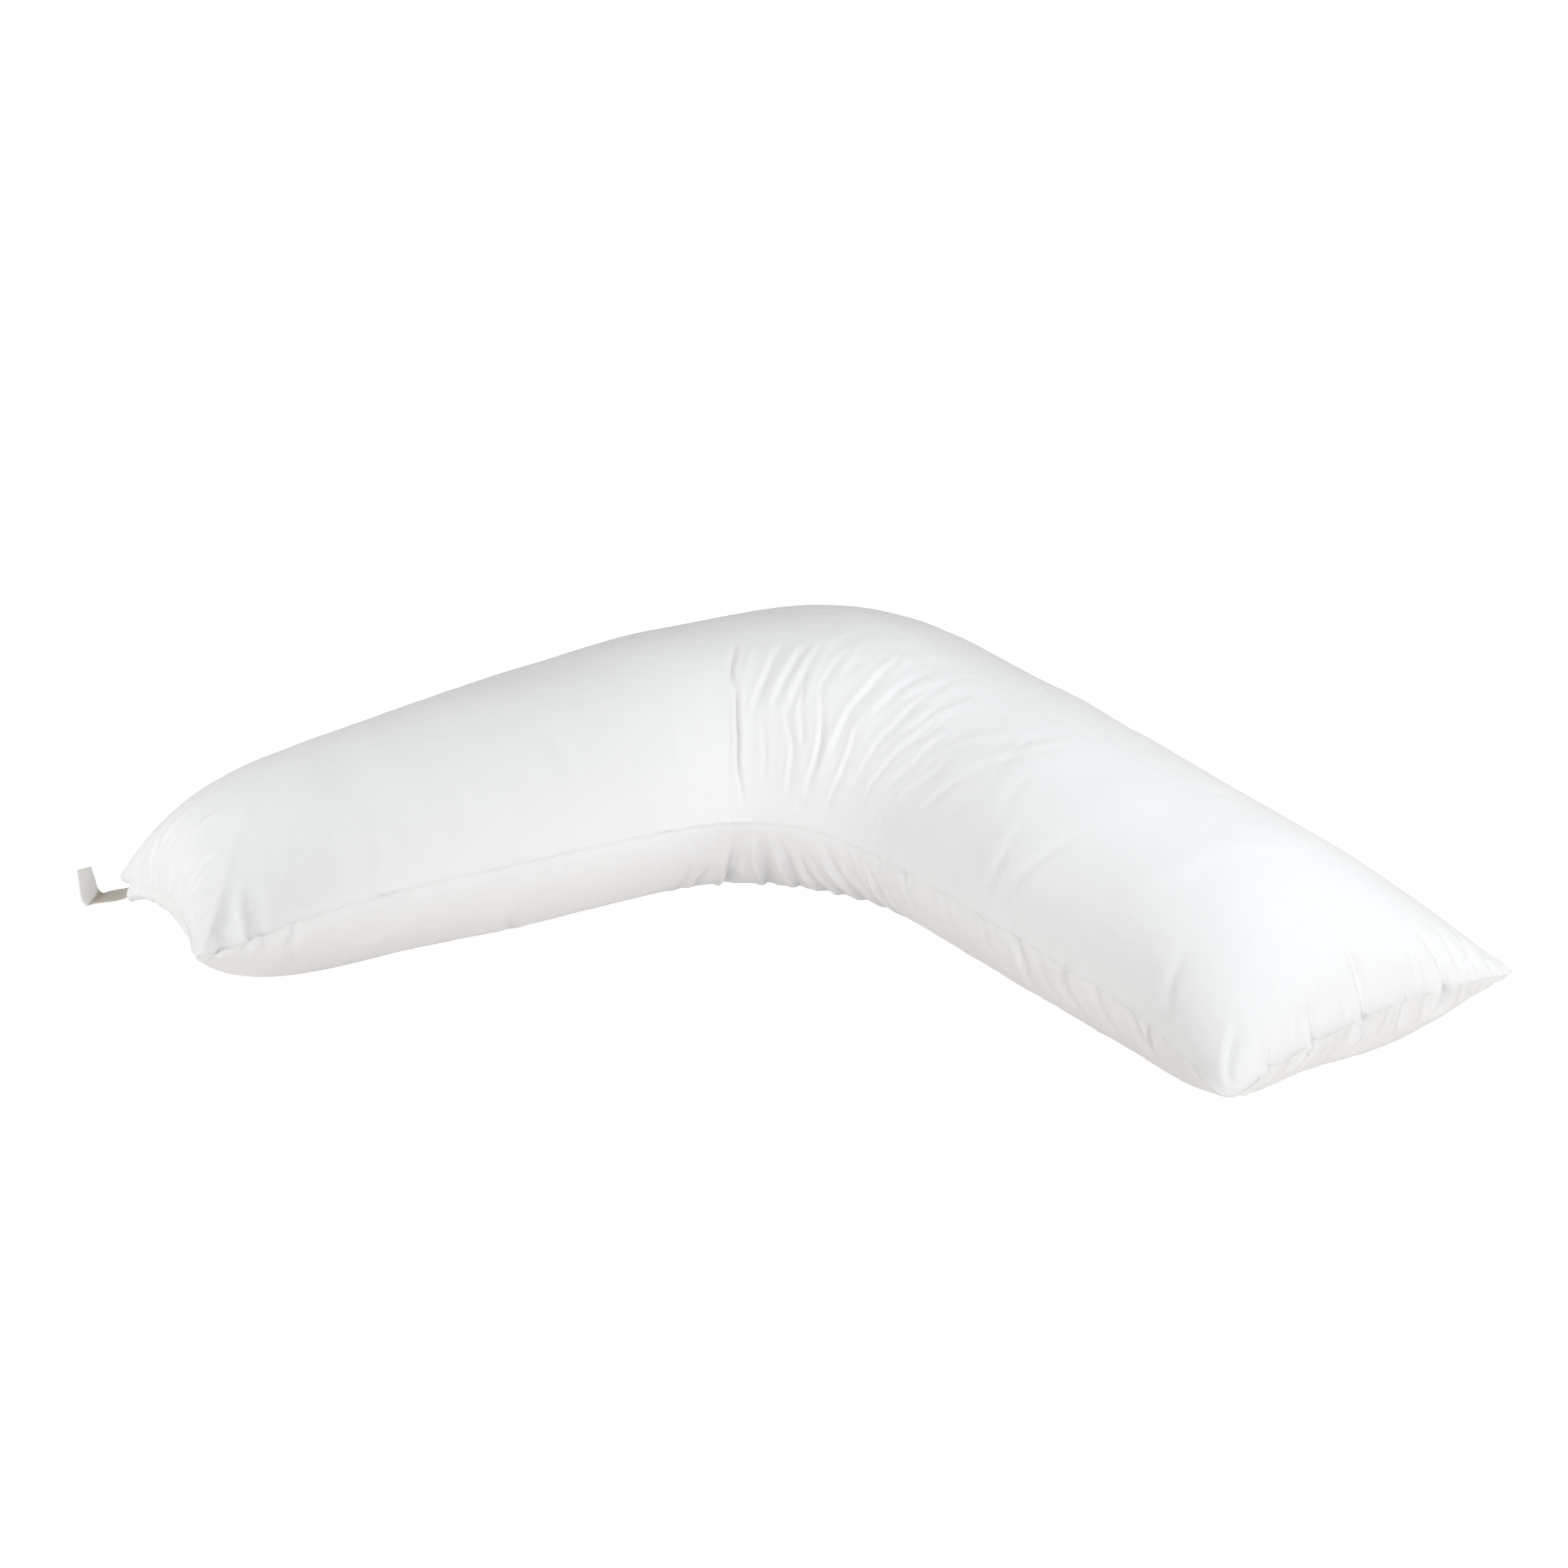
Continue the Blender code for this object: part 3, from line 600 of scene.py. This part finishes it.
def from_edge(edge, at, reach):
    """The (along, across) of a place along a seam and a distance in from it, in metres."""
    if edge == "inner":
        return at, reach / PANEL_HALF - 1
    if edge == "outer":
        return at, 1 - reach / PANEL_HALF
    if edge == "left_end":
        return reach - LEFT_LENGTH, at / PANEL_HALF
    return RIGHT_LENGTH - reach, at / PANEL_HALF


def small_puckers(panel):
    """Folds for the rows of irregular puckers along one panel's seams."""
    folds = []
    for row in PUCKERS:
        if row.panel != panel:
            continue
        random = np.random.default_rng(row.seed)
        at = row.span[0] + row.gap * random.uniform(0.2, 0.8)
        while at < row.span[1]:
            reach = row.reach * random.uniform(0.35, 1.0)
            drift = random.uniform(-0.3, 0.3) * reach
            path = tuple(from_edge(row.edge, at + drift * part, reach * part) for part in (0, 0.5, 1))
            depth = row.depth * random.uniform(0.4, 1.0)
            width = row.width * random.uniform(0.7, 1.2)
            folds.append(Fold("tapered", path, depth, width, random.uniform(-0.5, 0.5)))
            at += row.gap * random.uniform(0.5, 1.5)
    return folds


def seam_distances(points):
    """Distance over the cloth from each of the four seams of a panel."""
    across_steps = np.linalg.norm(np.diff(points, axis=1), axis=-1)
    along_steps = np.linalg.norm(np.diff(points, axis=0), axis=-1)
    inner = np.concatenate((np.zeros((len(points), 1)), np.cumsum(across_steps, axis=1)), axis=1)
    left = np.concatenate((np.zeros((1, points.shape[1])), np.cumsum(along_steps, axis=0)), axis=0)
    outer, right = inner[:, -1:] - inner, left[-1:] - left
    return {"inner": inner, "outer": outer, "left_end": left, "right_end": right}


def gather_relief(distances, panel):
    """Ripples square to each seam, in mm."""
    relief = np.zeros(distances["inner"].shape)
    for gather in GATHERS:
        if gather.panel != panel:
            continue
        at_end = gather.edge.endswith("end")
        run = distances["inner" if at_end else "left_end"]
        ripple = lobes(irregular(run, gather.pitch, gather.seed))
        strength = 0.6 + 0.4 * irregular(run, 8 * gather.pitch, gather.seed + 50)
        reach = gather.reach * (1 + 0.4 * irregular(run, 3 * gather.pitch, gather.seed + 80))
        relief += gather.height * ripple * strength * np.exp(-(distances[gather.edge] / reach) ** 2)
    return relief


def crinkle_relief(along, across, distances, panel):
    """Patches of small lobes and creases, in mm."""
    relief = np.zeros(along.shape)
    girth = distances["inner"]
    for row in CRINKLES:
        if row.panel != panel:
            continue
        patch = np.exp(-((along - row.along[0]) / row.along[1]) ** 4)
        patch = patch * np.exp(-((across - row.across[0]) / row.across[1]) ** 4)
        broad, tall = (3 * row.pitch, 0.5 * row.length), (2.5 * row.pitch, 1.2 * row.length)
        drift = 0.5 * row.pitch * random_field(along, girth, broad, row.seed + 100)
        run = along - row.slant * girth + drift
        strength = 0.5 + 0.5 * random_field(along, girth, tall, row.seed + 200)
        waves = lobes(random_field(run, girth, (row.pitch, row.length), row.seed))
        relief += row.height * patch * strength * waves
    for edge in ("left_end", "right_end"):
        relief = relief * np.clip(distances[edge] / CRINKLE_END_FADE, 0, 1)
    return relief


def seam_relief(distances, panel):
    """The welt of the seam and the dip beside it, in mm."""
    relief = np.zeros(distances["inner"].shape)
    for row in SEAM_EDGES:
        away = np.minimum(distances[row.edges[0]], distances[row.edges[1]]) / MM
        dip = row.top_dip if panel == "top" else row.under_dip
        relief = np.maximum(relief, row.welt * np.exp(-(away / WELT_WIDTH) ** 2))
        relief -= dip * np.exp(-((away - DIP_PLACE) / DIP_WIDTH) ** 2)
    from_ends = np.minimum(distances["left_end"], distances["right_end"]) / MM
    from_sides = np.minimum(distances["inner"], distances["outer"]) / MM
    return relief * np.clip(np.maximum(from_ends, from_sides) / SEAM_CORNER, 0, 1)


def corner_pull(points, distances):
    """How far each point follows its nearest corner."""
    from_seam = np.minimum.reduce(list(distances.values()))
    moves = np.zeros(points.shape)
    for row in CORNER_PULLS:
        away = np.linalg.norm(points - points[row.row, row.column], axis=-1)
        share = np.exp(-(away / row.spread) ** 2 - (from_seam / row.depth) ** 2)
        moves += share[..., None] * np.array(row.move)
    return moves


def lump_relief(distances, panel):
    """Broad soft lumps of filling, in mm."""
    seed = LUMP_SEEDS[panel]
    run, girth = distances["left_end"], distances["inner"]
    broad = irregular(run + 0.3 * girth, LUMP_PITCH, seed)
    broad = broad * irregular(girth, 0.8 * LUMP_PITCH, seed + 1)
    lumps = broad + 0.6 * irregular(run - 0.8 * girth, 0.6 * LUMP_PITCH, seed + 2)
    nearest = np.minimum.reduce(list(distances.values()))
    return LUMP_HEIGHT * lumps * np.clip(nearest / LUMP_FADE, 0, 1)


def set_down(points):
    """Flatten what would lie below the floor that the pillow rests on."""
    height = points[..., 2]
    blended = (height + CONTACT_BLEND) ** 2 / (4 * CONTACT_BLEND)
    height = np.where(height < CONTACT_BLEND, blended, height)
    height = np.where(points[..., 2] < -CONTACT_BLEND, 0, height)
    return np.concatenate((points[..., :2], height[..., None]), axis=-1)


def seam_mask(shape):
    """True on the border of a panel's grid, which is its seam."""
    on_seam = np.ones(shape, dtype=bool)
    on_seam[1:-1, 1:-1] = False
    return on_seam


def join_at_seam(top, under):
    """Give both panels the same points along their seam."""
    on_seam = seam_mask(top.shape[:2])
    shared = (top[on_seam] + under[on_seam]) / 2
    top[on_seam] = shared
    under[on_seam] = shared
    return top, under


def panel_faces(numbers, thinned=None):
    """Faces over a grid of vertex numbers; between the thinned rows every second column is kept."""
    if thinned is None:
        blocks = [numbers]
    else:
        first, last = thinned
        blocks = [numbers[:first + 1], numbers[first + 1:last, ::2], numbers[last:]]
    faces = []
    for block in blocks:
        corners = (block[:-1, :-1], block[1:, :-1], block[1:, 1:], block[:-1, 1:])
        faces.append(np.stack(corners, axis=-1).reshape(-1, 4))
    for before, after in zip(blocks[:-1], blocks[1:]):
        near, far = before[-1], after[0]
        if len(near) > len(far):
            corners = (near[:-1:2], far[:-1], far[1:], near[2::2], near[1::2])
        else:
            corners = (near[:-1], far[:-1:2], far[1::2], far[2::2], near[1:])
        faces.append(np.stack(corners, axis=-1))
    return faces


def closed_mesh(name, top, under, thinned=None):
    """One closed mesh of both panels, and the grid's vertex numbers in each."""
    on_seam = seam_mask(top.shape[:2])
    top_numbers = np.arange(on_seam.size).reshape(on_seam.shape)
    under_numbers = top_numbers.copy()
    under_numbers[~on_seam] = on_seam.size + np.arange((~on_seam).sum())
    points = np.concatenate((top.reshape(-1, 3), under[~on_seam]))
    faces = [*panel_faces(top_numbers, thinned), *panel_faces(under_numbers[:, ::-1], thinned)]
    used = np.unique(np.concatenate([block.ravel() for block in faces]))
    rows = [face for block in faces for face in np.searchsorted(used, block).tolist()]
    mesh = bpy.data.meshes.new(name)
    mesh.from_pydata(points[used].tolist(), [], rows)
    mesh.shade_smooth()
    return mesh, top_numbers, under_numbers


def add_object(name, mesh, material=None):
    made = bpy.data.objects.new(name, mesh)
    bpy.context.scene.collection.objects.link(made)
    if material:
        mesh.materials.append(material)
    return made


def mesh_points(mesh):
    points = np.empty(len(mesh.vertices) * 3, dtype=np.float32)
    mesh.vertices.foreach_get("co", points)
    return points.reshape(-1, 3).astype(float)


def simulated(made, points):
    """Points of the pillow after its filling has pressed the cover outwards for a moment."""
    held = made.vertex_groups.new(name="held")
    resting = points[:, 2] < RESTING_HEIGHT
    held.add([int(i) for i in np.where(resting)[0]], 1.0, "REPLACE")
    held.add([int(i) for i in np.where(~resting)[0]], SWELL_HOLD, "REPLACE")
    cloth = made.modifiers.new("swelling", "CLOTH")
    settings = cloth.settings
    settings.quality = SWELL_QUALITY
    settings.mass = SWELL_MASS
    settings.tension_stiffness = settings.compression_stiffness = SWELL_STRETCH
    settings.shear_stiffness = SWELL_SHEAR
    settings.bending_stiffness = SWELL_BEND
    settings.use_pressure = True
    settings.uniform_pressure_force = SWELL_PRESSURE
    settings.vertex_group_mass = "held"
    settings.effector_weights.gravity = 0
    cloth.collision_settings.use_collision = False
    cloth.collision_settings.use_self_collision = False
    cloth.point_cache.frame_end = SWELL_FRAMES + 1
    for number in range(1, SWELL_FRAMES + 1):
        bpy.context.scene.frame_set(number)
    shown = made.evaluated_get(bpy.context.evaluated_depsgraph_get())
    moved = mesh_points(shown.data)
    bpy.context.scene.frame_set(1)
    return moved


def swelling(along, across):
    """How far the filling pushes each point of both panels, from a short cloth simulation."""
    coarse_along = np.linspace(-LEFT_LENGTH, RIGHT_LENGTH, SWELL_CELLS[0] + 1)
    coarse_across = np.linspace(-1, 1, SWELL_CELLS[1] + 1)
    grid = np.meshgrid(coarse_along, coarse_across, indexing="ij")
    panels = []
    for panel, folds in (("top", TOP_FOLDS), ("under", UNDER_FOLDS)):
        points = panel_points(*grid, panel)
        normals = outward_normals(points, panel)
        relief = fold_relief(points, normals, *grid, folds, panel) * SEEDED_SHARE
        panels.append(set_down(points + relief[..., None] * MM * normals))
    mesh, *numbers = closed_mesh("swelling", *join_at_seam(*panels))
    made = add_object("swelling", mesh)
    points = mesh_points(mesh)
    moves = simulated(made, points) - points
    far = np.linalg.norm(moves, axis=1, keepdims=True)
    moves *= np.minimum(1, SWELL_CAP / np.maximum(far, 1e-9))
    bpy.data.objects.remove(made)
    bpy.data.meshes.remove(mesh)
    spread = []
    for panel_numbers in numbers:
        by_along = smooth_curve(coarse_along, moves[panel_numbers], along[:, 0])
        by_across = smooth_curve(coarse_across, by_along.transpose(1, 0, 2), across[0])
        spread.append(by_across.transpose(1, 0, 2))
    return spread


def cover_panel(along, across, panel, swell):
    """One finished panel, and the distances of its points from its four seams."""
    points = panel_points(along, across, panel)
    normals = outward_normals(points, panel)
    distances = seam_distances(points)
    folds = TOP_FOLDS if panel == "top" else UNDER_FOLDS
    relief = fold_relief(points, normals, along, across, [*folds, *small_puckers(panel)], panel)
    relief += gather_relief(distances, panel) + seam_relief(distances, panel)
    relief += crinkle_relief(along, across, distances, panel) + lump_relief(distances, panel)
    moves = corner_pull(points, distances) + swell
    return set_down(points + relief[..., None] * MM * normals + moves), distances


def store_cloth_places(mesh, distances, thinned=None):
    """Keep where each face corner lies on the flat cloth, in metres, for the weave."""
    places = []
    for flip, panel in ((1, distances[0]), (-1, distances[1])):
        inner = panel["inner"]
        flat = np.stack((panel["left_end"], flip * inner, np.zeros_like(inner)), axis=-1)
        numbers = np.arange(inner.size).reshape(inner.shape)[:, ::flip]
        places += [flat.reshape(-1, 3)[block.ravel()] for block in panel_faces(numbers, thinned)]
    attribute = mesh.attributes.new("cloth_place", "FLOAT_VECTOR", "CORNER")
    attribute.data.foreach_set("vector", np.concatenate(places).astype(np.float32).ravel())


def build_pillow(material):
    """The filled cover, its seam's points and outward directions, and the far left corner's seam."""
    along, across = np.meshgrid(spaced(ALONG_STOPS), spaced(ACROSS_STOPS) / PANEL_HALF, indexing="ij")
    swell = swelling(along, across)
    panels, distances = zip(*(cover_panel(along, across, panel, moves)
                              for panel, moves in zip(("top", "under"), swell)))
    top, under = join_at_seam(*panels)
    to_ends = np.minimum(along[:, 0] + LEFT_LENGTH, RIGHT_LENGTH - along[:, 0])
    kept = np.where(to_ends > FULL_COLUMNS)[0]
    thinned = (kept[0], kept[-1])
    mesh, *_ = closed_mesh("pillow_cover", top, under, thinned)
    store_cloth_places(mesh, distances, thinned)
    outward = outward_normals(top, "top") + outward_normals(under, "under")
    outward /= np.maximum(np.linalg.norm(outward, axis=-1, keepdims=True), 1e-12)
    made = add_object("pillow_cover", mesh, material)
    far_seam = np.concatenate((top[0, -CORNER_POINTS - 1:-1], top[:CORNER_POINTS + 1, -1]))
    return made, seam_loop(top), seam_loop(outward), far_seam


def seam_loop(grid):
    """The border of a grid as one closed run of rows."""
    return np.concatenate((grid[:-1, 0], grid[-1, :-1], grid[:0:-1, -1], grid[0, :0:-1]))


def build_stitches(seam, outward, material):
    """A row of short thread stitches lying in the seam, as one mesh."""
    closed = np.concatenate((seam, seam[:1]))
    steps = np.linalg.norm(np.diff(closed, axis=0), axis=1)
    run = np.concatenate(([0], np.cumsum(steps)))
    facing = np.concatenate((outward, outward[:1]))
    points, faces = [], []
    for number in range(int(run[-1] / STITCH_PITCH)):
        start = number * STITCH_PITCH
        base = len(points)
        for place, share in STITCH_RINGS:
            at = start + place * STITCH_LENGTH
            centre = np.array([np.interp(at, run, closed[:, axis]) for axis in range(3)])
            beyond = [np.interp(at + STITCH_LOOK, run, closed[:, axis]) for axis in range(3)]
            ahead = np.array(beyond) - centre
            ahead /= max(np.linalg.norm(ahead), 1e-9)
            up = np.array([np.interp(at, run, facing[:, axis]) for axis in range(3)])
            up -= ahead * (up @ ahead)
            up /= max(np.linalg.norm(up), 1e-9)
            across = np.cross(ahead, up)
            lift = STITCH_RADIUS * (2.2 * math.sin(math.pi * place) - 0.6)
            for side in range(STITCH_SIDES):
                angle = 2 * math.pi * side / STITCH_SIDES
                spoke = (math.cos(angle) * up + math.sin(angle) * across) * STITCH_RADIUS * share
                points.append(centre + up * lift + spoke)
        for ring in range(len(STITCH_RINGS) - 1):
            for side in range(STITCH_SIDES):
                here = base + ring * STITCH_SIDES
                beyond = here + STITCH_SIDES
                after = (side + 1) % STITCH_SIDES
                faces.append((here + side, here + after, beyond + after, beyond + side))
        last = base + (len(STITCH_RINGS) - 1) * STITCH_SIDES
        faces.append(tuple(range(base + STITCH_SIDES - 1, base - 1, -1)))
        faces.append(tuple(range(last, last + STITCH_SIDES)))
    mesh = bpy.data.meshes.new("seam_stitches")
    mesh.from_pydata([tuple(point) for point in points], [], faces)
    mesh.shade_smooth()
    return add_object("seam_stitches", mesh, material)


def build_ribbon(sewn, material):
    """The ribbon tab, from the points of the seam that it is sewn to as far as its cut end."""
    heading = np.array((math.cos(RIBBON_HEADING), math.sin(RIBBON_HEADING)))
    to_far_edge = np.array((heading[1], -heading[0]))
    place = np.linspace(0, 1, RIBBON_STEPS + 1)
    run, lead, height, tilt = (
        through_rows(RIBBON_ROWS, "place", column, place) for column in RibbonRow._fields[1:])
    offset = np.linspace(-0.5, 0.5, RIBBON_CELLS + 1)
    run_along = np.concatenate(([0], np.cumsum(np.linalg.norm(np.diff(sewn, axis=0), axis=1))))
    corner = len(sewn) // 2
    sewn = smooth_curve(run_along - run_along[corner], sewn, offset * RIBBON_WIDTH)
    straight = sewn[RIBBON_CELLS // 2, :2] + (offset * RIBBON_WIDTH)[:, None] * to_far_edge
    joined = np.clip(1 - place / RIBBON_JOINED, 0, 1)[:, None] ** 2
    ahead = run[:, None] - offset * lead[:, None] + GAP
    plan = straight + ahead[..., None] * heading + joined[..., None] * (sewn[:, :2] - straight)
    level = height[:, None] - offset * tilt[:, None] + joined * (sewn[:, 2] - height[0])
    middle = np.concatenate((plan, level[..., None]), axis=-1)
    normals = outward_normals(middle, "top")
    mesh, *_ = closed_mesh("ribbon_tab", middle + normals * RIBBON_THICKNESS / 2,
                           middle - normals * RIBBON_THICKNESS / 2)
    distances = seam_distances(middle)
    store_cloth_places(mesh, (distances, distances))
    return add_object("ribbon_tab", mesh, material), middle


def node(tree, kind, **settings):
    made = tree.nodes.new(kind)
    for name, value in settings.items():
        if name in made.inputs:
            made.inputs[name].default_value = value
        else:
            setattr(made, name, value)
    return made


def new_material(name, **shader_settings):
    """A material with its node tree and shader, the shader's inputs set."""
    material = bpy.data.materials.new(name)
    material.use_nodes = True
    shader = material.node_tree.nodes["Principled BSDF"]
    for label, value in shader_settings.items():
        shader.inputs[label.replace("_", " ")].default_value = value
    return material, material.node_tree, shader


def blended(tree, factor, first, second):
    """Colour between two, by a factor's output."""
    mix = node(tree, "ShaderNodeMix", data_type="RGBA")
    mix.inputs[6].default_value = (*first, 1)
    mix.inputs[7].default_value = (*second, 1)
    tree.links.new(factor, mix.inputs["Factor"])
    return mix.outputs[2]


def vary_roughness(tree, shader, factor, low, high):
    """Roughness between low and high, by a factor's output."""
    rough = node(tree, "ShaderNodeMapRange")
    rough.inputs["To Min"].default_value = low
    rough.inputs["To Max"].default_value = high
    tree.links.new(factor, rough.inputs["Value"])
    tree.links.new(rough.outputs["Result"], shader.inputs["Roughness"])


def painted_root_shade(tree, place, tinted, colour):
    """Colour of a tape with painted shade: darker from its sewn end as far as its bend, where the lying
    part falls in shade.
    """
    parts = node(tree, "ShaderNodeSeparateXYZ")
    beyond = node(tree, "ShaderNodeMapRange", interpolation_type="SMOOTHSTEP")
    beyond.inputs["From Min"].default_value = RIBBON_BEND[0]
    beyond.inputs["From Max"].default_value = RIBBON_BEND[1]
    mixed = node(tree, "ShaderNodeMix", data_type="RGBA")
    mixed.inputs[6].default_value = (*colour, 1)
    tree.links.new(place.outputs["Vector"], parts.inputs["Vector"])
    tree.links.new(parts.outputs["X"], beyond.inputs["Value"])
    tree.links.new(beyond.outputs["Result"], mixed.inputs["Factor"])
    tree.links.new(tinted, mixed.inputs[7])
    return mixed.outputs[2]


def cloth_material(name, colour, shade, roughness, sheen, thread, root=None):
    """Woven cloth: colour varies a little towards shade, and threads cross at that pitch. A root colour
    paints shade on the tape from its sewn end to its bend.
    """
    material, tree, shader = new_material(
        name, Sheen_Weight=sheen, Sheen_Roughness=0.45, Specular_IOR_Level=0.25)
    link = tree.links.new

    place = node(tree, "ShaderNodeAttribute", attribute_name="cloth_place")
    mottle = node(tree, "ShaderNodeTexNoise", Scale=14.0, Detail=4.0, Roughness=0.6)
    link(place.outputs["Vector"], mottle.inputs["Vector"])
    tinted = blended(tree, mottle.outputs["Fac"], colour, shade)
    # Painted shade: the root colour darkens the tape from its sewn end as far as its bend.
    if root:
        tinted = painted_root_shade(tree, place, tinted, root)
    link(tinted, shader.inputs["Base Color"])
    vary_roughness(tree, shader, mottle.outputs["Fac"],
                   roughness - ROUGHNESS_VARIES, roughness + ROUGHNESS_VARIES)

    # Warp and weft as two crossing waves, with slubs that swell single threads
    heights = []
    for direction, stretch in (("X", (1, 0.02, 1)), ("Y", (0.02, 1, 1))):
        wave = node(tree, "ShaderNodeTexWave", bands_direction=direction,
                    Scale=2 * math.pi / (20 * thread), Distortion=0.4, Detail=1.0)
        link(place.outputs["Vector"], wave.inputs["Vector"])
        longer = node(tree, "ShaderNodeMapping", vector_type="POINT", Scale=stretch)
        link(place.outputs["Vector"], longer.inputs["Vector"])
        slub = node(tree, "ShaderNodeTexNoise", Scale=700.0, Detail=2.0)
        link(longer.outputs["Vector"], slub.inputs["Vector"])
        both = node(tree, "ShaderNodeMath", operation="MULTIPLY")
        link(wave.outputs["Fac"], both.inputs[0])
        link(slub.outputs["Fac"], both.inputs[1])
        heights.append(both)
    weave = node(tree, "ShaderNodeMath", operation="ADD")
    link(heights[0].outputs[0], weave.inputs[0])
    link(heights[1].outputs[0], weave.inputs[1])
    fine = node(tree, "ShaderNodeBump", Strength=0.25, Distance=0.0002)
    link(weave.outputs[0], fine.inputs["Height"])
    crumple = node(tree, "ShaderNodeTexNoise", Scale=60.0, Detail=3.0, Roughness=0.55)
    link(place.outputs["Vector"], crumple.inputs["Vector"])
    soft = node(tree, "ShaderNodeBump", Strength=0.3, Distance=0.0008)
    link(crumple.outputs["Fac"], soft.inputs["Height"])
    link(fine.outputs["Normal"], soft.inputs["Normal"])
    link(soft.outputs["Normal"], shader.inputs["Normal"])
    return material


def thread_material():
    """Cream sewing thread, a little uneven along its ply."""
    material, tree, shader = new_material("cream_thread", Sheen_Weight=0.3)
    place = node(tree, "ShaderNodeTexCoord")
    ply = node(tree, "ShaderNodeTexNoise", Scale=900.0, Detail=2.0)
    tree.links.new(place.outputs["Object"], ply.inputs["Vector"])
    tinted = blended(tree, ply.outputs["Fac"], (0.84, 0.81, 0.77), (0.90, 0.88, 0.85))
    tree.links.new(tinted, shader.inputs["Base Color"])
    vary_roughness(tree, shader, ply.outputs["Fac"], 0.55, 0.75)
    bump = node(tree, "ShaderNodeBump", Strength=0.4, Distance=0.0001)
    tree.links.new(ply.outputs["Fac"], bump.inputs["Height"])
    tree.links.new(bump.outputs["Normal"], shader.inputs["Normal"])
    return material


def floor_disc(name, height, colour, glow):
    """A wide floor of one pale colour that glows a little by itself."""
    material, *_ = new_material(
        name, Base_Color=(*colour, 1), Roughness=0.9, Specular_IOR_Level=0.1,
        Emission_Color=(1, 1, 1, 1), Emission_Strength=glow)
    form = bmesh.new()
    bmesh.ops.create_circle(form, cap_ends=True, segments=96, radius=FLOOR_RADIUS)
    mesh = bpy.data.meshes.new(name)
    form.to_mesh(mesh)
    form.free()
    floor = add_object(name, mesh, material)
    floor.location.z = height
    return floor


def aimed(name, light, azimuth, elevation, distance):
    """Put a light on a sphere round the pillow, facing it."""
    turn, rise = math.radians(azimuth) + CAMERA_TURN, math.radians(elevation)
    away = np.array((math.sin(turn) * math.cos(rise), -math.cos(turn) * math.cos(rise), math.sin(rise)))
    made = bpy.data.objects.new(name, light)
    made.location = np.array(LAMP_TARGET) + away * distance
    made.rotation_euler = (math.pi / 2 - rise, 0, turn)
    made.visible_camera = False
    bpy.context.scene.collection.objects.link(made)


def build_backdrop():
    """A white band round the horizon that softens upwards."""
    world = bpy.data.worlds.new("studio")
    world.use_nodes = True
    tree = world.node_tree
    link = tree.links.new
    place = node(tree, "ShaderNodeTexCoord")
    split = node(tree, "ShaderNodeSeparateXYZ")
    link(place.outputs["Generated"], split.inputs["Vector"])
    ramp = node(tree, "ShaderNodeValToRGB")
    stops = ramp.color_ramp.elements
    while len(stops) < len(BACKDROP):
        stops.new(0.5)
    for stop, row in zip(stops, BACKDROP):
        stop.position = row.height
        stop.color = (*(row.strength * part for part in BACKDROP_COLOUR), 1)
    link(split.outputs["Z"], ramp.inputs["Fac"])
    link(ramp.outputs["Color"], tree.nodes["Background"].inputs["Color"])
    bpy.context.scene.world = world


def build_studio():
    """The white floor that shows, a greyer one below that throws light back up, and the lights."""
    shown = floor_disc("studio_floor", 0, FLOOR_COLOUR, FLOOR_GLOW)
    shown.visible_diffuse = False
    shown.visible_shadow = False
    bounce = floor_disc("bounce_floor", -BOUNCE_DEPTH, BOUNCE_COLOUR, BOUNCE_GLOW)
    bounce.visible_camera = False
    for row in SUNS:
        light = bpy.data.lights.new(row.name, "SUN")
        light.angle = math.radians(row.spread)
        light.energy = row.strength
        light.color = LIGHT_COLOUR
        aimed(row.name, light, row.azimuth, row.elevation, SUN_DISTANCE)
    for row in LAMPS:
        light = bpy.data.lights.new(row.name, "AREA")
        light.shape = "DISK"
        light.size = row.width
        light.energy = row.power
        light.color = LIGHT_COLOUR
        aimed(row.name, light, row.azimuth, row.elevation, row.distance)
    build_backdrop()
    bpy.context.scene.view_settings.view_transform = "Standard"


def build_camera():
    data = bpy.data.cameras.new("photo_camera")
    data.sensor_width = SENSOR_WIDTH
    data.lens = CAMERA_LENS
    data.clip_end = 200
    made = bpy.data.objects.new("photo_camera", data)
    made.location = CAMERA_PLACE
    made.rotation_euler = (math.pi / 2 - CAMERA_TILT, 0, CAMERA_TURN)
    bpy.context.scene.collection.objects.link(made)
    bpy.context.scene.camera = made


build_camera()
build_studio()

cotton = cloth_material("white_cotton", (0.79, 0.79, 0.80), (0.76, 0.76, 0.77), 0.82, 0.15, 0.00045)
# The tape's root colour is painted shade, darkening the part of the ribbon between its sewn end and its
# bend.
tape = cloth_material("ribbon_tape", (0.96, 0.96, 0.95), (0.93, 0.93, 0.92), 0.75, 0.2, 0.0006,
                      root=(0.45, 0.41, 0.36))
pillow, seam_points, seam_outward, far_seam = build_pillow(cotton)
stitches = build_stitches(seam_points, seam_outward, thread_material())
ribbon, ribbon_middle = build_ribbon(far_seam, tape)

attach(pillow, "root")
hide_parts("pillow_body")
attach(stitches, "root")
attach(ribbon, "root")
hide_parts("label_tab")
